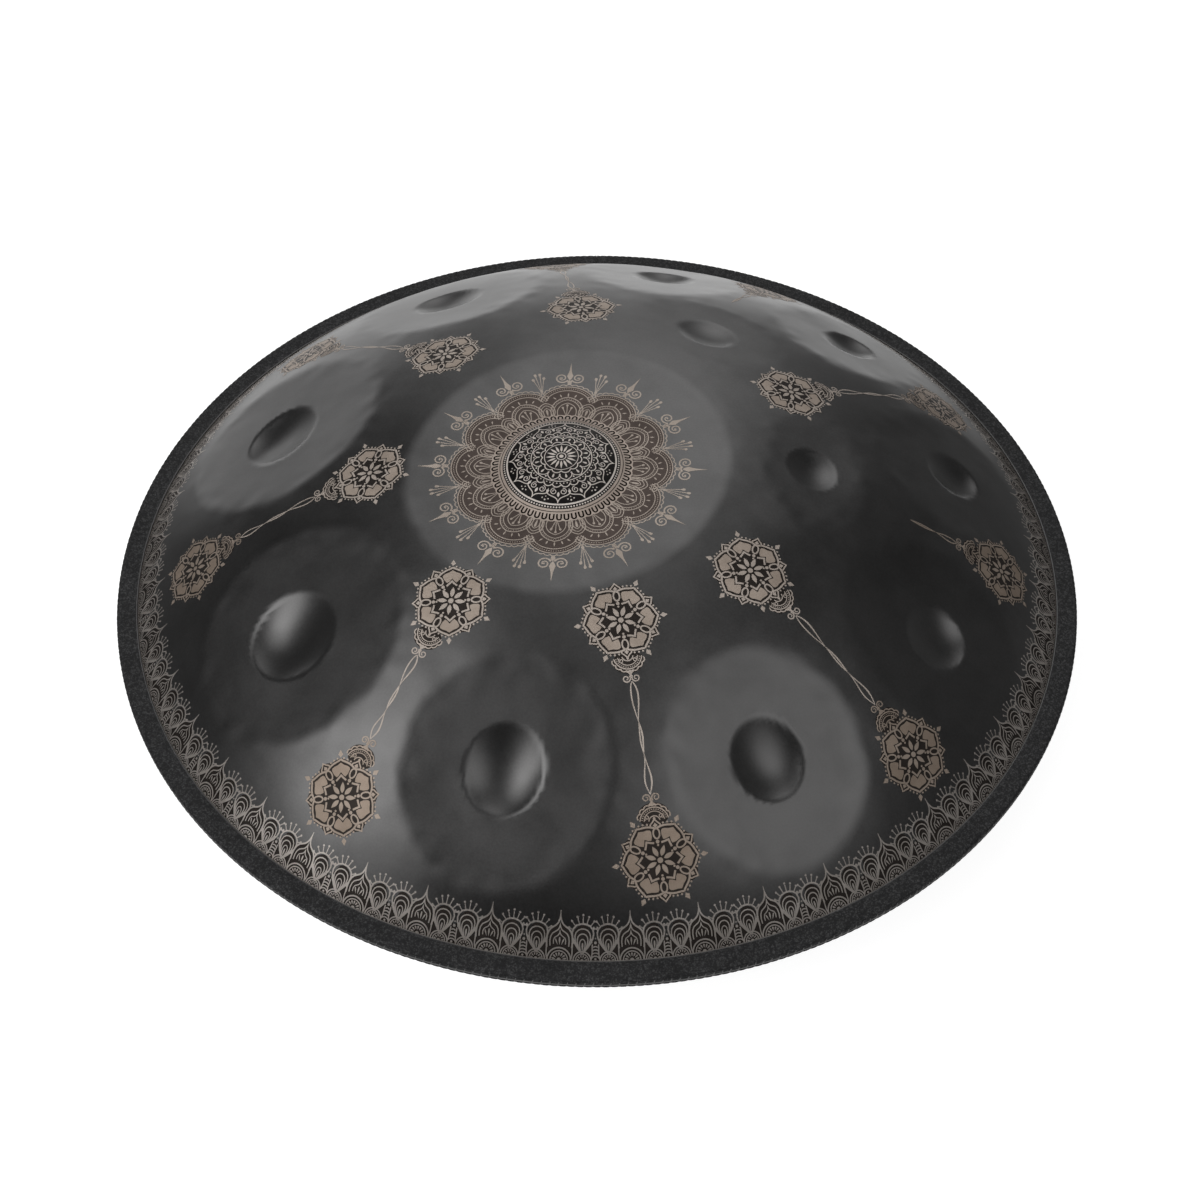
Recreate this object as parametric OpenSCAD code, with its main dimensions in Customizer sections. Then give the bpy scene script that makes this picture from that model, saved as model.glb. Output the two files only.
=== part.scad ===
// Handpan: two drawn steel shells bonded at a flat rim flange, with a domed
// centre note, eleven flattened tone fields, an inward port neck underneath
// and a stitched leather band over a rubber edge channel round the rim.
// Units are millimetres. +Z is up, -Y is the player's side, and the origin is
// the centre of the flat ring the instrument rests on.

/* [Shells] */
// Height of the flange joint above the rest face
rim_h = 114; // [108:1:120]
// Height of the top dome above the flange joint, before the notes are formed
dome_h = 113; // [111:1:115]
// Thickness of the steel sheet
sheet_t = 1.2; // [1:0.1:1.4]
// Radius where the dome surface would meet the joint plane
dome_foot_r = 270.9; // [270.7:0.1:271]
// Outer radius of both steel flanges
flange_r = 277.5; // [276.5:0.5:278]
// Thickness of the adhesive line between the flanges
bond_t = 0.5; // [0.4:0.1:0.6]

/* [Curvature] */
// Radius of the crown of the top dome
crown_r = 394; // [392:1:396]
// Angle from the axis at which the crown passes into the shoulder
crown_angle = 32.3; // [31.8:0.1:32.8]
// Radius of the crown of the bottom bowl
bowl_crown_r = 380; // [375:1:390]
// Angle from the axis at which the bowl passes into its shoulder
bowl_angle = 30; // [28:0.5:31]

/* [Centre note] */
// Left-right position of the centre note
ding_x = -19.5; // [-21:0.5:-18]
// Front-back position of the centre note
ding_y = -16; // [-18:0.5:-14.5]
// Radius of the flattened field round the centre note
ding_field_r = 84; // [82:1:86]
// Radius of the raised dome at its foot
ding_r = 37.5; // [35:0.5:40]
// Rise of the raised dome above its field
ding_rise = 8.5; // [7:0.5:10]

/* [Tone fields] */
// Scale on the radius of every tone field
field_k = 1.0; // [0.95:0.01:1.03]
// Depth of the hollow pressed in a ring note
dimple_h = 4.6; // [3.5:0.1:5.5]
// Depth of the hollow pressed in an inner note
inner_dimple_h = 3.2; // [2.5:0.1:4]

/* [Port] */
// Inside radius of the port neck
port_r = 49; // [45:0.5:51]
// Height of the neck above the rest face
port_h = 30; // [24:1:36]
// Outer radius of the flat rest ring
land_r = 63; // [62:0.5:66]

/* [Rim band] */
// Outside radius of the finished rim
rim_r = 281; // [280.6:0.1:282]
// Inner radius of the leather on the upper and lower faces
leather_in_r = 269.1; // [269:0.1:270]
// Thickness of the leather
leather_t = 0.8; // [0.6:0.1:1.0]
// Thickness of the lips of the rubber edge channel
lip_t = 1.1; // [0.9:0.1:1.4]
// Height of the stitched seam below the joint plane
seam_drop = 0.8; // [0.5:0.1:1]

/* [Hidden] */
$fn = 180;

steel_c   = [0.22, 0.22, 0.23];
under_c   = [0.20, 0.20, 0.21];
bond_c    = [0.62, 0.58, 0.50];
rubber_c  = [0.06, 0.06, 0.06];
leather_c = [0.14, 0.14, 0.15];
thread_c  = [0.10, 0.10, 0.11];

// Each tone field: azimuth from +X, distance from the axis, radius of the
// field, radius of the hollow.
ring_notes = [
  [255.9, 196.0, 59.5, 22.2],
  [296.4, 202.0, 57.5, 20.8],
  [333.1, 207.5, 54.0, 19.0],
  [  8.0, 210.0, 51.0, 17.4],
  [ 42.3, 211.0, 48.5, 17.0],
  [ 78.3, 208.0, 52.0, 19.0],
  [117.8, 200.0, 58.0, 21.5],
  [163.6, 193.2, 63.0, 24.0],
  [210.9, 192.5, 63.0, 25.6]];
inner_notes = [
  [356.6, 120.3, 33.5, 14.5],
  [ 58.8, 125.5, 38.5, 17.0]];

// Crown and shoulder arcs of a two-arc dome: h is its height, cr and ca its
// crown radius and half angle. The shoulder arc is tangent to the crown and
// passes through the foot radius at height zero.
function shift_k(h, cr, ca) =
  (dome_foot_r*dome_foot_r + (cr - h)*(cr - h) - cr*cr)
  / (2*(dome_foot_r*sin(ca) + (cr - h)*cos(ca) - cr));

top_k  = shift_k(dome_h, crown_r, crown_angle);
sh_r   = crown_r - top_k;
sh_x   = top_k*sin(crown_angle);
cr_z   = dome_h - crown_r;
sh_z   = cr_z + top_k*cos(crown_angle);
join_r = crown_r*sin(crown_angle);

bowl_h  = rim_h + bowl_crown_r - sqrt(bowl_crown_r*bowl_crown_r - land_r*land_r);
bowl_k  = shift_k(bowl_h, bowl_crown_r, bowl_angle);

// Tilt of the surface normal at distance r from the axis, and its height
// above the joint plane.
function tilt(r) = r < join_r ? asin(r/crown_r) : asin((r - sh_x)/sh_r);
function rise(r) = r < join_r ? cr_z + crown_r*cos(tilt(r)) : sh_z + sh_r*cos(tilt(r));
// Depth of a flat that meets a curve of radius c in a circle of radius a.
function sag(a, c) = c - sqrt(c*c - a*a);
// Radius of the ball that sinks h below a circle of radius b.
function ball(b, h) = (b*b + h*h)/(2*h);

ding_az   = atan2(ding_y, ding_x);
ding_dist = sqrt(ding_x*ding_x + ding_y*ding_y);
field_z   = bond_t/2;
lip_z     = bond_t/2 + sheet_t;
skin_z    = lip_z + lip_t;

// Area under a two-arc dome whose surface is moved inwards by off.
module dome_area(h, cr, ca, k, off) {
  cz = h - cr;
  zj = cz + (cr - off)*cos(ca);
  union() {
    intersection() {
      translate([0, cz]) circle(r = cr - off);
      translate([0, zj]) square([300, 60]);
    }
    intersection() {
      translate([k*sin(ca), cz + k*cos(ca)]) circle(r = cr - k - off);
      translate([0, -8]) square([300, zj + 8]);
    }
  }
}

// Places children on the dome at a note, z along the surface normal.
module at_note(az, r) {
  rotate([0, 0, az]) translate([r, 0, rise(r)]) rotate([0, tilt(r), 0]) children();
}

// Cutter for one note: everything above the flat, and the ball hollow.
// The flat and the hollow both move inwards by off for the inside surface.
module note_cut(n, h, c, off) {
  a = n[2]*field_k;
  d = sag(a, c);
  at_note(n[0], n[1]) {
    translate([0, 0, -d - off]) cylinder(r = a*1.14, h = 30);
    translate([0, 0, -d + ball(n[3], h) - h]) sphere(r = ball(n[3], h) + off);
  }
}

// Solid bounded by the note side of the instrument, moved inwards by off.
module top_body(off) {
  difference() {
    rotate_extrude() dome_area(dome_h, crown_r, crown_angle, top_k, off);
    for (n = ring_notes) note_cut(n, dimple_h, 372, off);
    for (n = inner_notes) note_cut(n, inner_dimple_h, crown_r, off);
    at_note(ding_az, ding_dist)
      translate([0, 0, -sag(ding_field_r, crown_r) - off])
        cylinder(r = ding_field_r*1.1, h = 40);
  }
  at_note(ding_az, ding_dist)
    translate([0, 0, -sag(ding_field_r, crown_r)])
      intersection() {
        translate([0, 0, ding_rise - ball(ding_r, ding_rise)])
          sphere(r = ball(ding_r, ding_rise) - off);
        translate([0, 0, -off - 6]) cylinder(r = ding_r + 4, h = 30);
      }
}

// Drawn and hammered note shell with its flat flange.
module top_shell() {
  color(steel_c) translate([0, 0, rim_h]) {
    difference() {
      top_body(0);
      top_body(sheet_t);
      translate([0, 0, -20]) cylinder(r = 300, h = 20 + lip_z - 0.6);
    }
    rotate_extrude() difference() {
      translate([0, field_z]) square([flange_r, sheet_t]);
      dome_area(dome_h, crown_r, crown_angle, top_k, sheet_t);
    }
  }
}

// Bottom shell: bowl, rest ring, rolled mouth and inward port neck.
module bottom_shell() {
  roll = 4;
  color(under_c) rotate_extrude() union() {
    difference() {
      translate([0, rim_h]) mirror([0, 1]) dome_area(bowl_h, bowl_crown_r, bowl_angle, bowl_k, 0);
      translate([0, rim_h]) mirror([0, 1]) dome_area(bowl_h, bowl_crown_r, bowl_angle, bowl_k, sheet_t);
      translate([0, -20]) square([land_r - 1, 40]);
      translate([0, -20]) square([300, 20]);
      translate([0, rim_h - field_z - 0.3]) square([300, 20]);
    }
    difference() {
      translate([0, rim_h - field_z - sheet_t]) square([flange_r, sheet_t]);
      translate([0, rim_h]) mirror([0, 1]) dome_area(bowl_h, bowl_crown_r, bowl_angle, bowl_k, sheet_t);
    }
    // rest ring, rolled mouth and neck
    translate([port_r + roll, 0]) square([land_r - port_r - roll, sheet_t]);
    intersection() {
      difference() {
        translate([port_r + roll, roll]) circle(r = roll);
        translate([port_r + roll, roll]) circle(r = roll - sheet_t);
      }
      translate([port_r, 0]) square([roll, roll]);
    }
    translate([port_r, roll]) square([sheet_t, port_h - roll]);
  }
}

// Cured adhesive between the two flanges.
module flange_adhesive() {
  color(bond_c) translate([0, 0, rim_h - field_z]) difference() {
    cylinder(r = flange_r, h = bond_t);
    translate([0, 0, -1]) cylinder(r = dome_foot_r - 1, h = bond_t + 2);
  }
}

// Rubber U channel pushed over the flange edge.
module rim_rubber_channel() {
  color(rubber_c) translate([0, 0, rim_h]) rotate_extrude() difference() {
    translate([dome_foot_r - 0.2, -skin_z]) square([rim_r - leather_t - dome_foot_r + 0.2, 2*skin_z]);
    translate([dome_foot_r - 2, -lip_z]) square([flange_r - dome_foot_r + 2, 2*lip_z]);
  }
}

// Section of one leather strip: a face and part of the outer wall, with a
// rounded outer corner. wall is the height of the strip's free edge.
module leather_area(wall) {
  c = 1.5;
  top = skin_z + leather_t;
  polygon(concat(
    [[leather_in_r, skin_z], [leather_in_r, top]],
    [for (i = [0:5]) [rim_r - c + c*sin(18*i), top - c + c*cos(18*i)]],
    [[rim_r, wall], [rim_r - leather_t, wall], [rim_r - leather_t, skin_z]]));
}

// Butt joint of a strip's two ends, at the far side.
module butt_gap() {
  translate([-0.2, 250, -10]) cube([0.4, 40, 20]);
}

module rim_leather_upper() {
  color(leather_c) translate([0, 0, rim_h]) difference() {
    rotate_extrude() leather_area(-seam_drop + 0.5);
    butt_gap();
  }
}

module rim_leather_lower() {
  color(leather_c) translate([0, 0, rim_h]) difference() {
    rotate_extrude() mirror([0, 1]) leather_area(seam_drop + 0.5);
    butt_gap();
  }
}

// Thread cord laid in the seam between the strips.
module rim_seam_cord() {
  color(thread_c) translate([0, 0, rim_h - seam_drop])
    rotate_extrude() translate([rim_r - leather_t + 0.5, 0]) circle(r = 0.5);
}

top_shell();
bottom_shell();
flange_adhesive();
rim_rubber_channel();
rim_leather_upper();
rim_leather_lower();
rim_seam_cord();
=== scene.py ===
"""Looks of the handpan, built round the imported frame. Lengths below are in millimetres measured from the
centre of the rim joint plane (x right, y away from the player, z up); put() turns them into the row frame."""

import math

import bpy
import numpy as np
from mathutils import Matrix, Vector


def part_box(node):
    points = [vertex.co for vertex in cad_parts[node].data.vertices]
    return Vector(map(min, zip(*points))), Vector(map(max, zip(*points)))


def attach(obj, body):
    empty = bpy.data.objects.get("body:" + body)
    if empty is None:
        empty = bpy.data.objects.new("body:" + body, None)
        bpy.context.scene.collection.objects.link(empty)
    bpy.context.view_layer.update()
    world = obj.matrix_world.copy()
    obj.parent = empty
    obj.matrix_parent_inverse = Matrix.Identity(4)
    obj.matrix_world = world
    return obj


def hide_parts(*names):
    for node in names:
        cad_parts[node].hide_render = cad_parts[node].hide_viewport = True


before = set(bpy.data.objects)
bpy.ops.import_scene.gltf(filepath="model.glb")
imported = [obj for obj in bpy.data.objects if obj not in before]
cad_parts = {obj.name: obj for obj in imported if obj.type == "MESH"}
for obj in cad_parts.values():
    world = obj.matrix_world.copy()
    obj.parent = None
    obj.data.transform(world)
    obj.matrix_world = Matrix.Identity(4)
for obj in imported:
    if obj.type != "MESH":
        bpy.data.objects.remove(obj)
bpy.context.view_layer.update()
bond_lo, bond_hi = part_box("flange_adhesive")
RIM_Z = (bond_lo.z + bond_hi.z) * 500.0  # height of the joint plane, mm
LEATHER_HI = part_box("rim_leather_upper")[1]
RIM_R = LEATHER_HI.x * 1000.0
scene = bpy.context.scene
pi = math.pi


def put(p):
    """Points in mm from the rim centre to metres in the row frame."""
    p = np.asarray(p, float)
    return (p + np.array([0.0, 0.0, RIM_Z])) / 1000.0


# ---------------------------------------------------------------- the note surface
CROWN_R, CROWN_A = 394.0, math.radians(32.3)
FOOT_R, DOME_H, SHEET = 270.9, 113.0, 1.2
_k = (FOOT_R**2 + (CROWN_R - DOME_H) ** 2 - CROWN_R**2) / (
    2 * (FOOT_R * math.sin(CROWN_A) + (CROWN_R - DOME_H) * math.cos(CROWN_A) - CROWN_R)
)
SH_R, SH_X = CROWN_R - _k, _k * math.sin(CROWN_A)
CROWN_Z = DOME_H - CROWN_R
SH_Z = CROWN_Z + _k * math.cos(CROWN_A)
JOIN_R = CROWN_R * math.sin(CROWN_A)


def dome(r):
    r = np.asarray(r, float)
    a = CROWN_Z + np.sqrt(CROWN_R**2 - np.minimum(r, JOIN_R) ** 2)
    b = SH_Z + np.sqrt(np.maximum(SH_R**2 - (r - SH_X) ** 2, 1.0))
    return np.where(r < JOIN_R, a, b)


def tilt(r):
    return math.asin(r / CROWN_R) if r < JOIN_R else math.asin((r - SH_X) / SH_R)


def softmax0(t, k):
    """max(t, 0) with a rounded corner k wide in the value."""
    h = np.maximum(k - np.abs(t), 0.0) / k
    return np.maximum(t, 0.0) + h * h * k * 0.25


class Patch:
    """Tangent-plane coordinates round a point of the dome: u along the rim direction, w down the slope."""

    def __init__(self, x, y):
        self.x, self.y = x, y
        self.r = math.hypot(x, y)
        self.az = math.atan2(y, x)
        self.t = tilt(self.r)
        self.z = float(dome(self.r))
        self.c, self.s = math.cos(self.az), math.sin(self.az)

    def uw(self, x, y, z):
        dx, dy = x - self.x, y - self.y
        u = -dx * self.s + dy * self.c
        w = (dx * self.c + dy * self.s) * math.cos(self.t) - (z - self.z) * math.sin(self.t)
        return u, w

    def plan(self, u, w):
        """Plan position of a point u, w on the tangent plane, carried straight back to the dome."""
        rr = w * math.cos(self.t)
        # the dome falls away from its tangent plane, so a point slides outwards by the sag
        sag = (u * u + w * w) / (2 * 375.0)
        rr = rr - sag * math.sin(self.t)
        return self.x - u * self.s + rr * self.c, self.y + u * self.c + rr * self.s


# field centre x, y, half size along the rim and down the slope; hollow centre x, y, half sizes, depth
NOTES = [
    (-47.7, -190.9, 56.5, 62.5, -47.6, -188.2, 20.6, 24.3, 5.0),
    (89.6, -180.8, 52.2, 59.8, 88.6, -179.2, 19.4, 22.5, 4.6),
    (185.5, -92.5, 49.5, 58.5, 185.4, -93.9, 18.0, 20.0, 4.4),
    (208.8, 28.0, 48.5, 53.5, 208.3, 29.6, 16.2, 18.4, 4.2),
    (156.0, 142.0, 46.5, 51.0, 156.0, 142.6, 16.0, 18.0, 4.2),
    (42.2, 203.7, 49.0, 55.0, 42.4, 204.6, 19.0, 19.2, 4.4),
    (-93.3, 176.9, 57.5, 59.0, -93.3, 177.6, 21.8, 21.0, 4.8),
    (-184.8, 55.5, 63.0, 63.5, -185.3, 54.8, 24.2, 23.6, 5.2),
    (-163.0, -99.4, 61.0, 65.0, -165.2, -99.0, 24.6, 26.4, 5.4),
    (120.8, -7.0, 40.5, 28.5, 120.2, -7.8, 14.8, 14.2, 3.3),
    (66.1, 108.6, 46.0, 32.8, 65.2, 106.6, 18.2, 15.6, 3.3),
]
DING = (-19.5, -16.0)
DING_FIELD = (-17.5, -15.0, 86.0, 92.0)
DING_R, DING_RISE = 37.5, 8.4

_note_geo = []
for fx, fy, at, ar, dx, dy, bt, br, dd in NOTES:
    _note_geo.append((Patch(fx, fy), at, ar, Patch(dx, dy), bt, br, dd))
_ding_f = Patch(DING_FIELD[0], DING_FIELD[1])

_rng = np.random.default_rng(20417)


def _modes(n, lo, hi):
    lam = np.exp(_rng.uniform(math.log(lo), math.log(hi), n))
    an = _rng.uniform(0, 2 * pi, n)
    ph = _rng.uniform(0, 2 * pi, n)
    return 2 * pi / lam * np.cos(an), 2 * pi / lam * np.sin(an), ph, lam


_M1 = _modes(46, 26.0, 70.0)
_M2 = _modes(40, 11.0, 24.0)


def _noise(m, x, y, slope):
    kx, ky, ph, lam = m
    out = np.zeros(np.shape(x))
    amp = slope * lam / (2 * pi) * math.sqrt(2.0 / len(lam))
    for a, b, c, d in zip(kx, ky, ph, amp):
        out = out + d * np.sin(a * x + b * y + c)
    return out


def surface(x, y, rough=True):
    """Height of the outside of the note shell above the joint plane."""
    x, y = np.asarray(x, float), np.asarray(y, float)
    r = np.hypot(x, y)
    z0 = dome(r)
    z = z0.copy()
    hammer = np.zeros_like(z)
    for pf, at, ar, pd, bt, br, dd in _note_geo:
        near = (x - pf.x) ** 2 + (y - pf.y) ** 2 < (max(at, ar) * 1.6) ** 2
        if not near.any():
            continue
        xs, ys, zs = x[near], y[near], z0[near]
        u, w = pf.uw(xs, ys, zs)
        q = (u / at) ** 2 + (w / ar) ** 2
        h = at * ar / (2 * 376.0) * 0.96
        drop = softmax0(h * (1 - q), 0.55)
        ud, wd = pd.uw(xs, ys, zs)
        qd = (ud / bt) ** 2 + (wd / br) ** 2
        drop = drop + softmax0(dd * (1 - qd), 0.75)
        z[near] -= drop / math.cos(pf.t)
        hammer[near] += np.exp(-(((np.sqrt(q) - 1.0) / 0.17) ** 2))
    u, w = _ding_f.uw(x, y, z0)
    q = (u / DING_FIELD[2]) ** 2 + (w / DING_FIELD[3]) ** 2
    drop = softmax0(9.3 * (1 - q), 0.7)
    z = z - drop
    hammer = hammer + 0.6 * np.exp(-(((np.sqrt(q) - 1.0) / 0.14) ** 2))
    qd = ((x - DING[0]) ** 2 + (y - DING[1]) ** 2) / DING_R**2
    z = z + softmax0(DING_RISE * (1 - qd), 0.75)
    if rough:
        edge = np.clip((262.0 - r) / 20.0, 0, 1)
        calm = np.clip((np.sqrt(qd) - 1.02) / 0.25, 0, 1)
        z = z + edge * (_noise(_M1, x, y, 0.0086) + (0.0035 + 0.016 * np.clip(hammer, 0, 1)) / 0.01 * calm * _noise(_M2, x, y, 0.01))
    return z


def normal(x, y, rough=True, e=0.35):
    gx = (surface(x + e, y, rough) - surface(x - e, y, rough)) / (2 * e)
    gy = (surface(x, y + e, rough) - surface(x, y - e, rough)) / (2 * e)
    n = np.stack([-gx, -gy, np.ones_like(gx)], -1)
    return n / np.linalg.norm(n, axis=-1, keepdims=True)


# ---------------------------------------------------------------- mesh helpers
def make_mesh(name, verts, faces, mat=None, normals=None, smooth=True):
    me = bpy.data.meshes.new(name)
    verts = put(verts).astype(np.float32)
    me.vertices.add(len(verts))
    me.vertices.foreach_set("co", verts.ravel())
    groups = [np.asarray(f, np.int32) for f in (faces if isinstance(faces, list) else [faces]) if len(f)]
    loops = np.concatenate([f.ravel() for f in groups])
    sizes = np.concatenate([np.full(len(f), f.shape[1], np.int32) for f in groups])
    starts = np.concatenate([[0], np.cumsum(sizes)[:-1]]).astype(np.int32)
    me.loops.add(len(loops))
    me.loops.foreach_set("vertex_index", loops)
    me.polygons.add(len(sizes))
    me.polygons.foreach_set("loop_start", starts)
    me.polygons.foreach_set("loop_total", sizes)
    me.update(calc_edges=True)
    me.validate()
    me.polygons.foreach_set("use_smooth", np.full(len(me.polygons), smooth))
    if normals is not None:
        me.normals_split_custom_set_from_vertices([tuple(n) for n in np.asarray(normals, float)])
    ob = bpy.data.objects.new(name, me)
    scene.collection.objects.link(ob)
    if mat is not None:
        me.materials.append(mat)
    return ob


def ring_faces(nr, ns, base=0, flip=False):
    """Quads between nr rings of ns points, each ring closed."""
    i = np.arange(nr - 1)[:, None]
    j = np.arange(ns)[None, :]
    a = base + i * ns + j
    b = base + i * ns + (j + 1) % ns
    q = np.stack([a, b, b + ns, a + ns], -1).reshape(-1, 4)
    return q[:, ::-1] if flip else q


def revolve(profile, ns, closed=True):
    """Vertices and quads of a profile of (r, z) points turned about the axis."""
    profile = np.asarray(profile, float)
    a = np.arange(ns) * 2 * pi / ns
    v = np.stack(
        [
            profile[:, 0][:, None] * np.cos(a),
            profile[:, 0][:, None] * np.sin(a),
            np.repeat(profile[:, 1][:, None], ns, 1),
        ],
        -1,
    ).reshape(-1, 3)
    f = ring_faces(len(profile), ns)
    if closed:
        n = len(profile)
        j = np.arange(ns)
        last = np.stack([(n - 1) * ns + j, (n - 1) * ns + (j + 1) % ns, (j + 1) % ns, j], -1)
        f = np.concatenate([f, last])
    return v, f


# ---------------------------------------------------------------- node materials
def mat_new(name):
    m = bpy.data.materials.new(name)
    m.use_nodes = True
    nt = m.node_tree
    nt.nodes.clear()
    out = nt.nodes.new("ShaderNodeOutputMaterial")
    bsdf = nt.nodes.new("ShaderNodeBsdfPrincipled")
    nt.links.new(bsdf.outputs[0], out.inputs[0])
    return m, nt, bsdf


class G:
    """Small helper for wiring nodes."""

    def __init__(self, nt):
        self.nt = nt

    def node(self, kind, **props):
        n = self.nt.nodes.new(kind)
        for k, v in props.items():
            setattr(n, k, v)
        return n

    def set(self, socket, v):
        if isinstance(v, bpy.types.NodeSocket):
            self.nt.links.new(v, socket)
        elif v is not None:
            socket.default_value = v

    def pos(self):
        return self.node("ShaderNodeNewGeometry").outputs["Position"]

    def sep(self, v):
        n = self.node("ShaderNodeSeparateXYZ")
        self.set(n.inputs[0], v)
        return n.outputs

    def comb(self, x, y, z):
        n = self.node("ShaderNodeCombineXYZ")
        for s, v in zip(n.inputs, (x, y, z)):
            self.set(s, v)
        return n.outputs[0]

    def math(self, op, a, b=None, c=None, clamp=False):
        n = self.node("ShaderNodeMath", operation=op, use_clamp=clamp)
        for s, v in zip(n.inputs, (a, b, c)):
            self.set(s, v)
        return n.outputs[0]

    def vmath(self, op, a, b=None):
        n = self.node("ShaderNodeVectorMath", operation=op)
        self.set(n.inputs[0], a)
        self.set(n.inputs[1], b)
        return n.outputs["Value"] if op in ("DOT_PRODUCT", "LENGTH", "DISTANCE") else n.outputs[0]

    def vscale(self, a, f):
        n = self.node("ShaderNodeVectorMath", operation="SCALE")
        self.set(n.inputs[0], a)
        self.set(n.inputs["Scale"], f)
        return n.outputs[0]

    def noise(self, vec, scale, detail=2.0, rough=0.5, distortion=0.0):
        n = self.node("ShaderNodeTexNoise")
        self.set(n.inputs["Vector"], vec)
        n.inputs["Scale"].default_value = scale
        n.inputs["Detail"].default_value = detail
        n.inputs["Roughness"].default_value = rough
        n.inputs["Distortion"].default_value = distortion
        return n.outputs["Fac"]

    def voronoi(self, vec, scale, feature="F1"):
        n = self.node("ShaderNodeTexVoronoi", feature=feature)
        self.set(n.inputs["Vector"], vec)
        n.inputs["Scale"].default_value = scale
        return n.outputs["Distance"]

    def ramp(self, f, lo, hi, a=0.0, b=1.0, smooth=False):
        n = self.node("ShaderNodeMapRange", interpolation_type="SMOOTHSTEP" if smooth else "LINEAR")
        self.set(n.inputs["Value"], f)
        for s, v in zip(("From Min", "From Max", "To Min", "To Max"), (lo, hi, a, b)):
            self.set(n.inputs[s], v)
        return n.outputs["Result"]

    def mix(self, f, a, b):
        n = self.node("ShaderNodeMix", data_type="RGBA")
        self.set(n.inputs["Factor"], f)
        self.set(n.inputs["A"] if False else n.inputs[6], a)
        self.set(n.inputs[7], b)
        return n.outputs[2]

    def bump(self, h, strength=1.0, dist=0.0001, nrm=None):
        n = self.node("ShaderNodeBump")
        n.inputs["Strength"].default_value = strength
        n.inputs["Distance"].default_value = dist
        self.set(n.inputs["Height"], h)
        if nrm is not None:
            self.set(n.inputs["Normal"], nrm)
        return n.outputs[0]


def rgb(r, g, b):
    return (r, g, b, 1.0)


def steel_material(name, base, rough, seed):
    """Nitrided steel: cloudy heat tone, fine drawn grain and a satin finish that varies slowly."""
    m, nt, b = mat_new(name)
    g = G(nt)
    p = g.vmath("ADD", g.pos(), (seed * 0.37, seed * 0.11, seed * 0.23))
    cloud = g.noise(p, 9.0, 4.0, 0.55, 0.6)
    blotch = g.noise(p, 32.0, 3.0, 0.6, 0.3)
    grain = g.noise(p, 900.0, 3.0, 0.65)
    tone = g.math("ADD", g.math("MULTIPLY", cloud, 0.65), g.math("MULTIPLY", blotch, 0.35))
    t = g.ramp(tone, 0.36, 0.64, 0.0, 1.0, True)
    dark = tuple(c * 0.86 for c in base)
    lite = tuple(c * 1.14 for c in base)
    col = g.mix(t, rgb(*dark), rgb(*lite))
    speck = g.ramp(grain, 0.35, 0.65, 0.93, 1.06)
    col = g.vscale(col, speck)
    g.set(b.inputs["Base Color"], col)
    b.inputs["Metallic"].default_value = 1.0
    r1 = g.ramp(cloud, 0.35, 0.65, rough - 0.03, rough + 0.04)
    r2 = g.math("ADD", r1, g.ramp(grain, 0.3, 0.7, -0.02, 0.03))
    g.set(b.inputs["Roughness"], r2)
    h = g.math("ADD", g.math("MULTIPLY", grain, 0.5), g.noise(p, 240.0, 4.0, 0.6))
    g.set(b.inputs["Normal"], g.bump(h, 0.12, 0.00012))
    return m


def leather_material():
    """Charcoal leather: pebble grain a fraction of a millimetre wide, with slightly lighter tops."""
    m, nt, b = mat_new("charcoal_leather")
    g = G(nt)
    p = g.pos()
    cells = g.voronoi(p, 1150.0)
    cells2 = g.voronoi(p, 520.0)
    fine = g.noise(p, 2600.0, 3.0, 0.6)
    broad = g.noise(p, 60.0, 3.0, 0.55)
    h = g.math("ADD", g.math("MULTIPLY", cells, 0.7), g.math("MULTIPLY", cells2, 0.45))
    h = g.math("ADD", h, g.math("MULTIPLY", fine, 0.25))
    t = g.ramp(h, 0.25, 0.85, 0.0, 1.0, True)
    col = g.mix(t, rgb(0.041, 0.041, 0.042), rgb(0.009, 0.009, 0.0095))
    col = g.vscale(col, g.ramp(broad, 0.35, 0.65, 0.86, 1.14))
    # painted highlight: the inner edge beside the shell is coloured paler where its rounding catches the softboxes
    o = g.sep(p)
    rad = g.math("SQRT", g.math("ADD", g.math("MULTIPLY", o[0], o[0]), g.math("MULTIPLY", o[1], o[1])))
    cut = g.ramp(rad, 0.26935, 0.2698, 0.62, 0.0, True)
    col = g.mix(cut, col, rgb(0.135, 0.133, 0.132))
    g.set(b.inputs["Base Color"], col)
    g.set(b.inputs["Roughness"], g.ramp(h, 0.2, 0.9, 0.52, 0.72))
    b.inputs["Specular IOR Level"].default_value = 0.42
    g.set(b.inputs["Normal"], g.bump(g.math("MULTIPLY", h, -1.0), 0.55, 0.00022))
    return m


def thread_material():
    m, nt, b = mat_new("waxed_thread")
    g = G(nt)
    o = g.sep(g.pos())
    ang = g.math("ARCTAN2", o[1], o[0])
    tw = g.math("ADD", g.math("MULTIPLY", ang, 2600.0), g.math("MULTIPLY", o[2], 5200.0))
    ply = g.math("MULTIPLY_ADD", g.math("SINE", tw), 0.5, 0.5)
    fuzz = g.noise(g.pos(), 3000.0, 3.0, 0.6)
    f = g.math("MULTIPLY", ply, g.ramp(fuzz, 0.3, 0.7, 0.6, 1.0), clamp=True)
    g.set(b.inputs["Base Color"], g.mix(f, rgb(0.055, 0.055, 0.056), rgb(0.165, 0.163, 0.16)))
    b.inputs["Roughness"].default_value = 0.55
    g.set(b.inputs["Normal"], g.bump(ply, 0.4, 0.0001))
    return m


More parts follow.
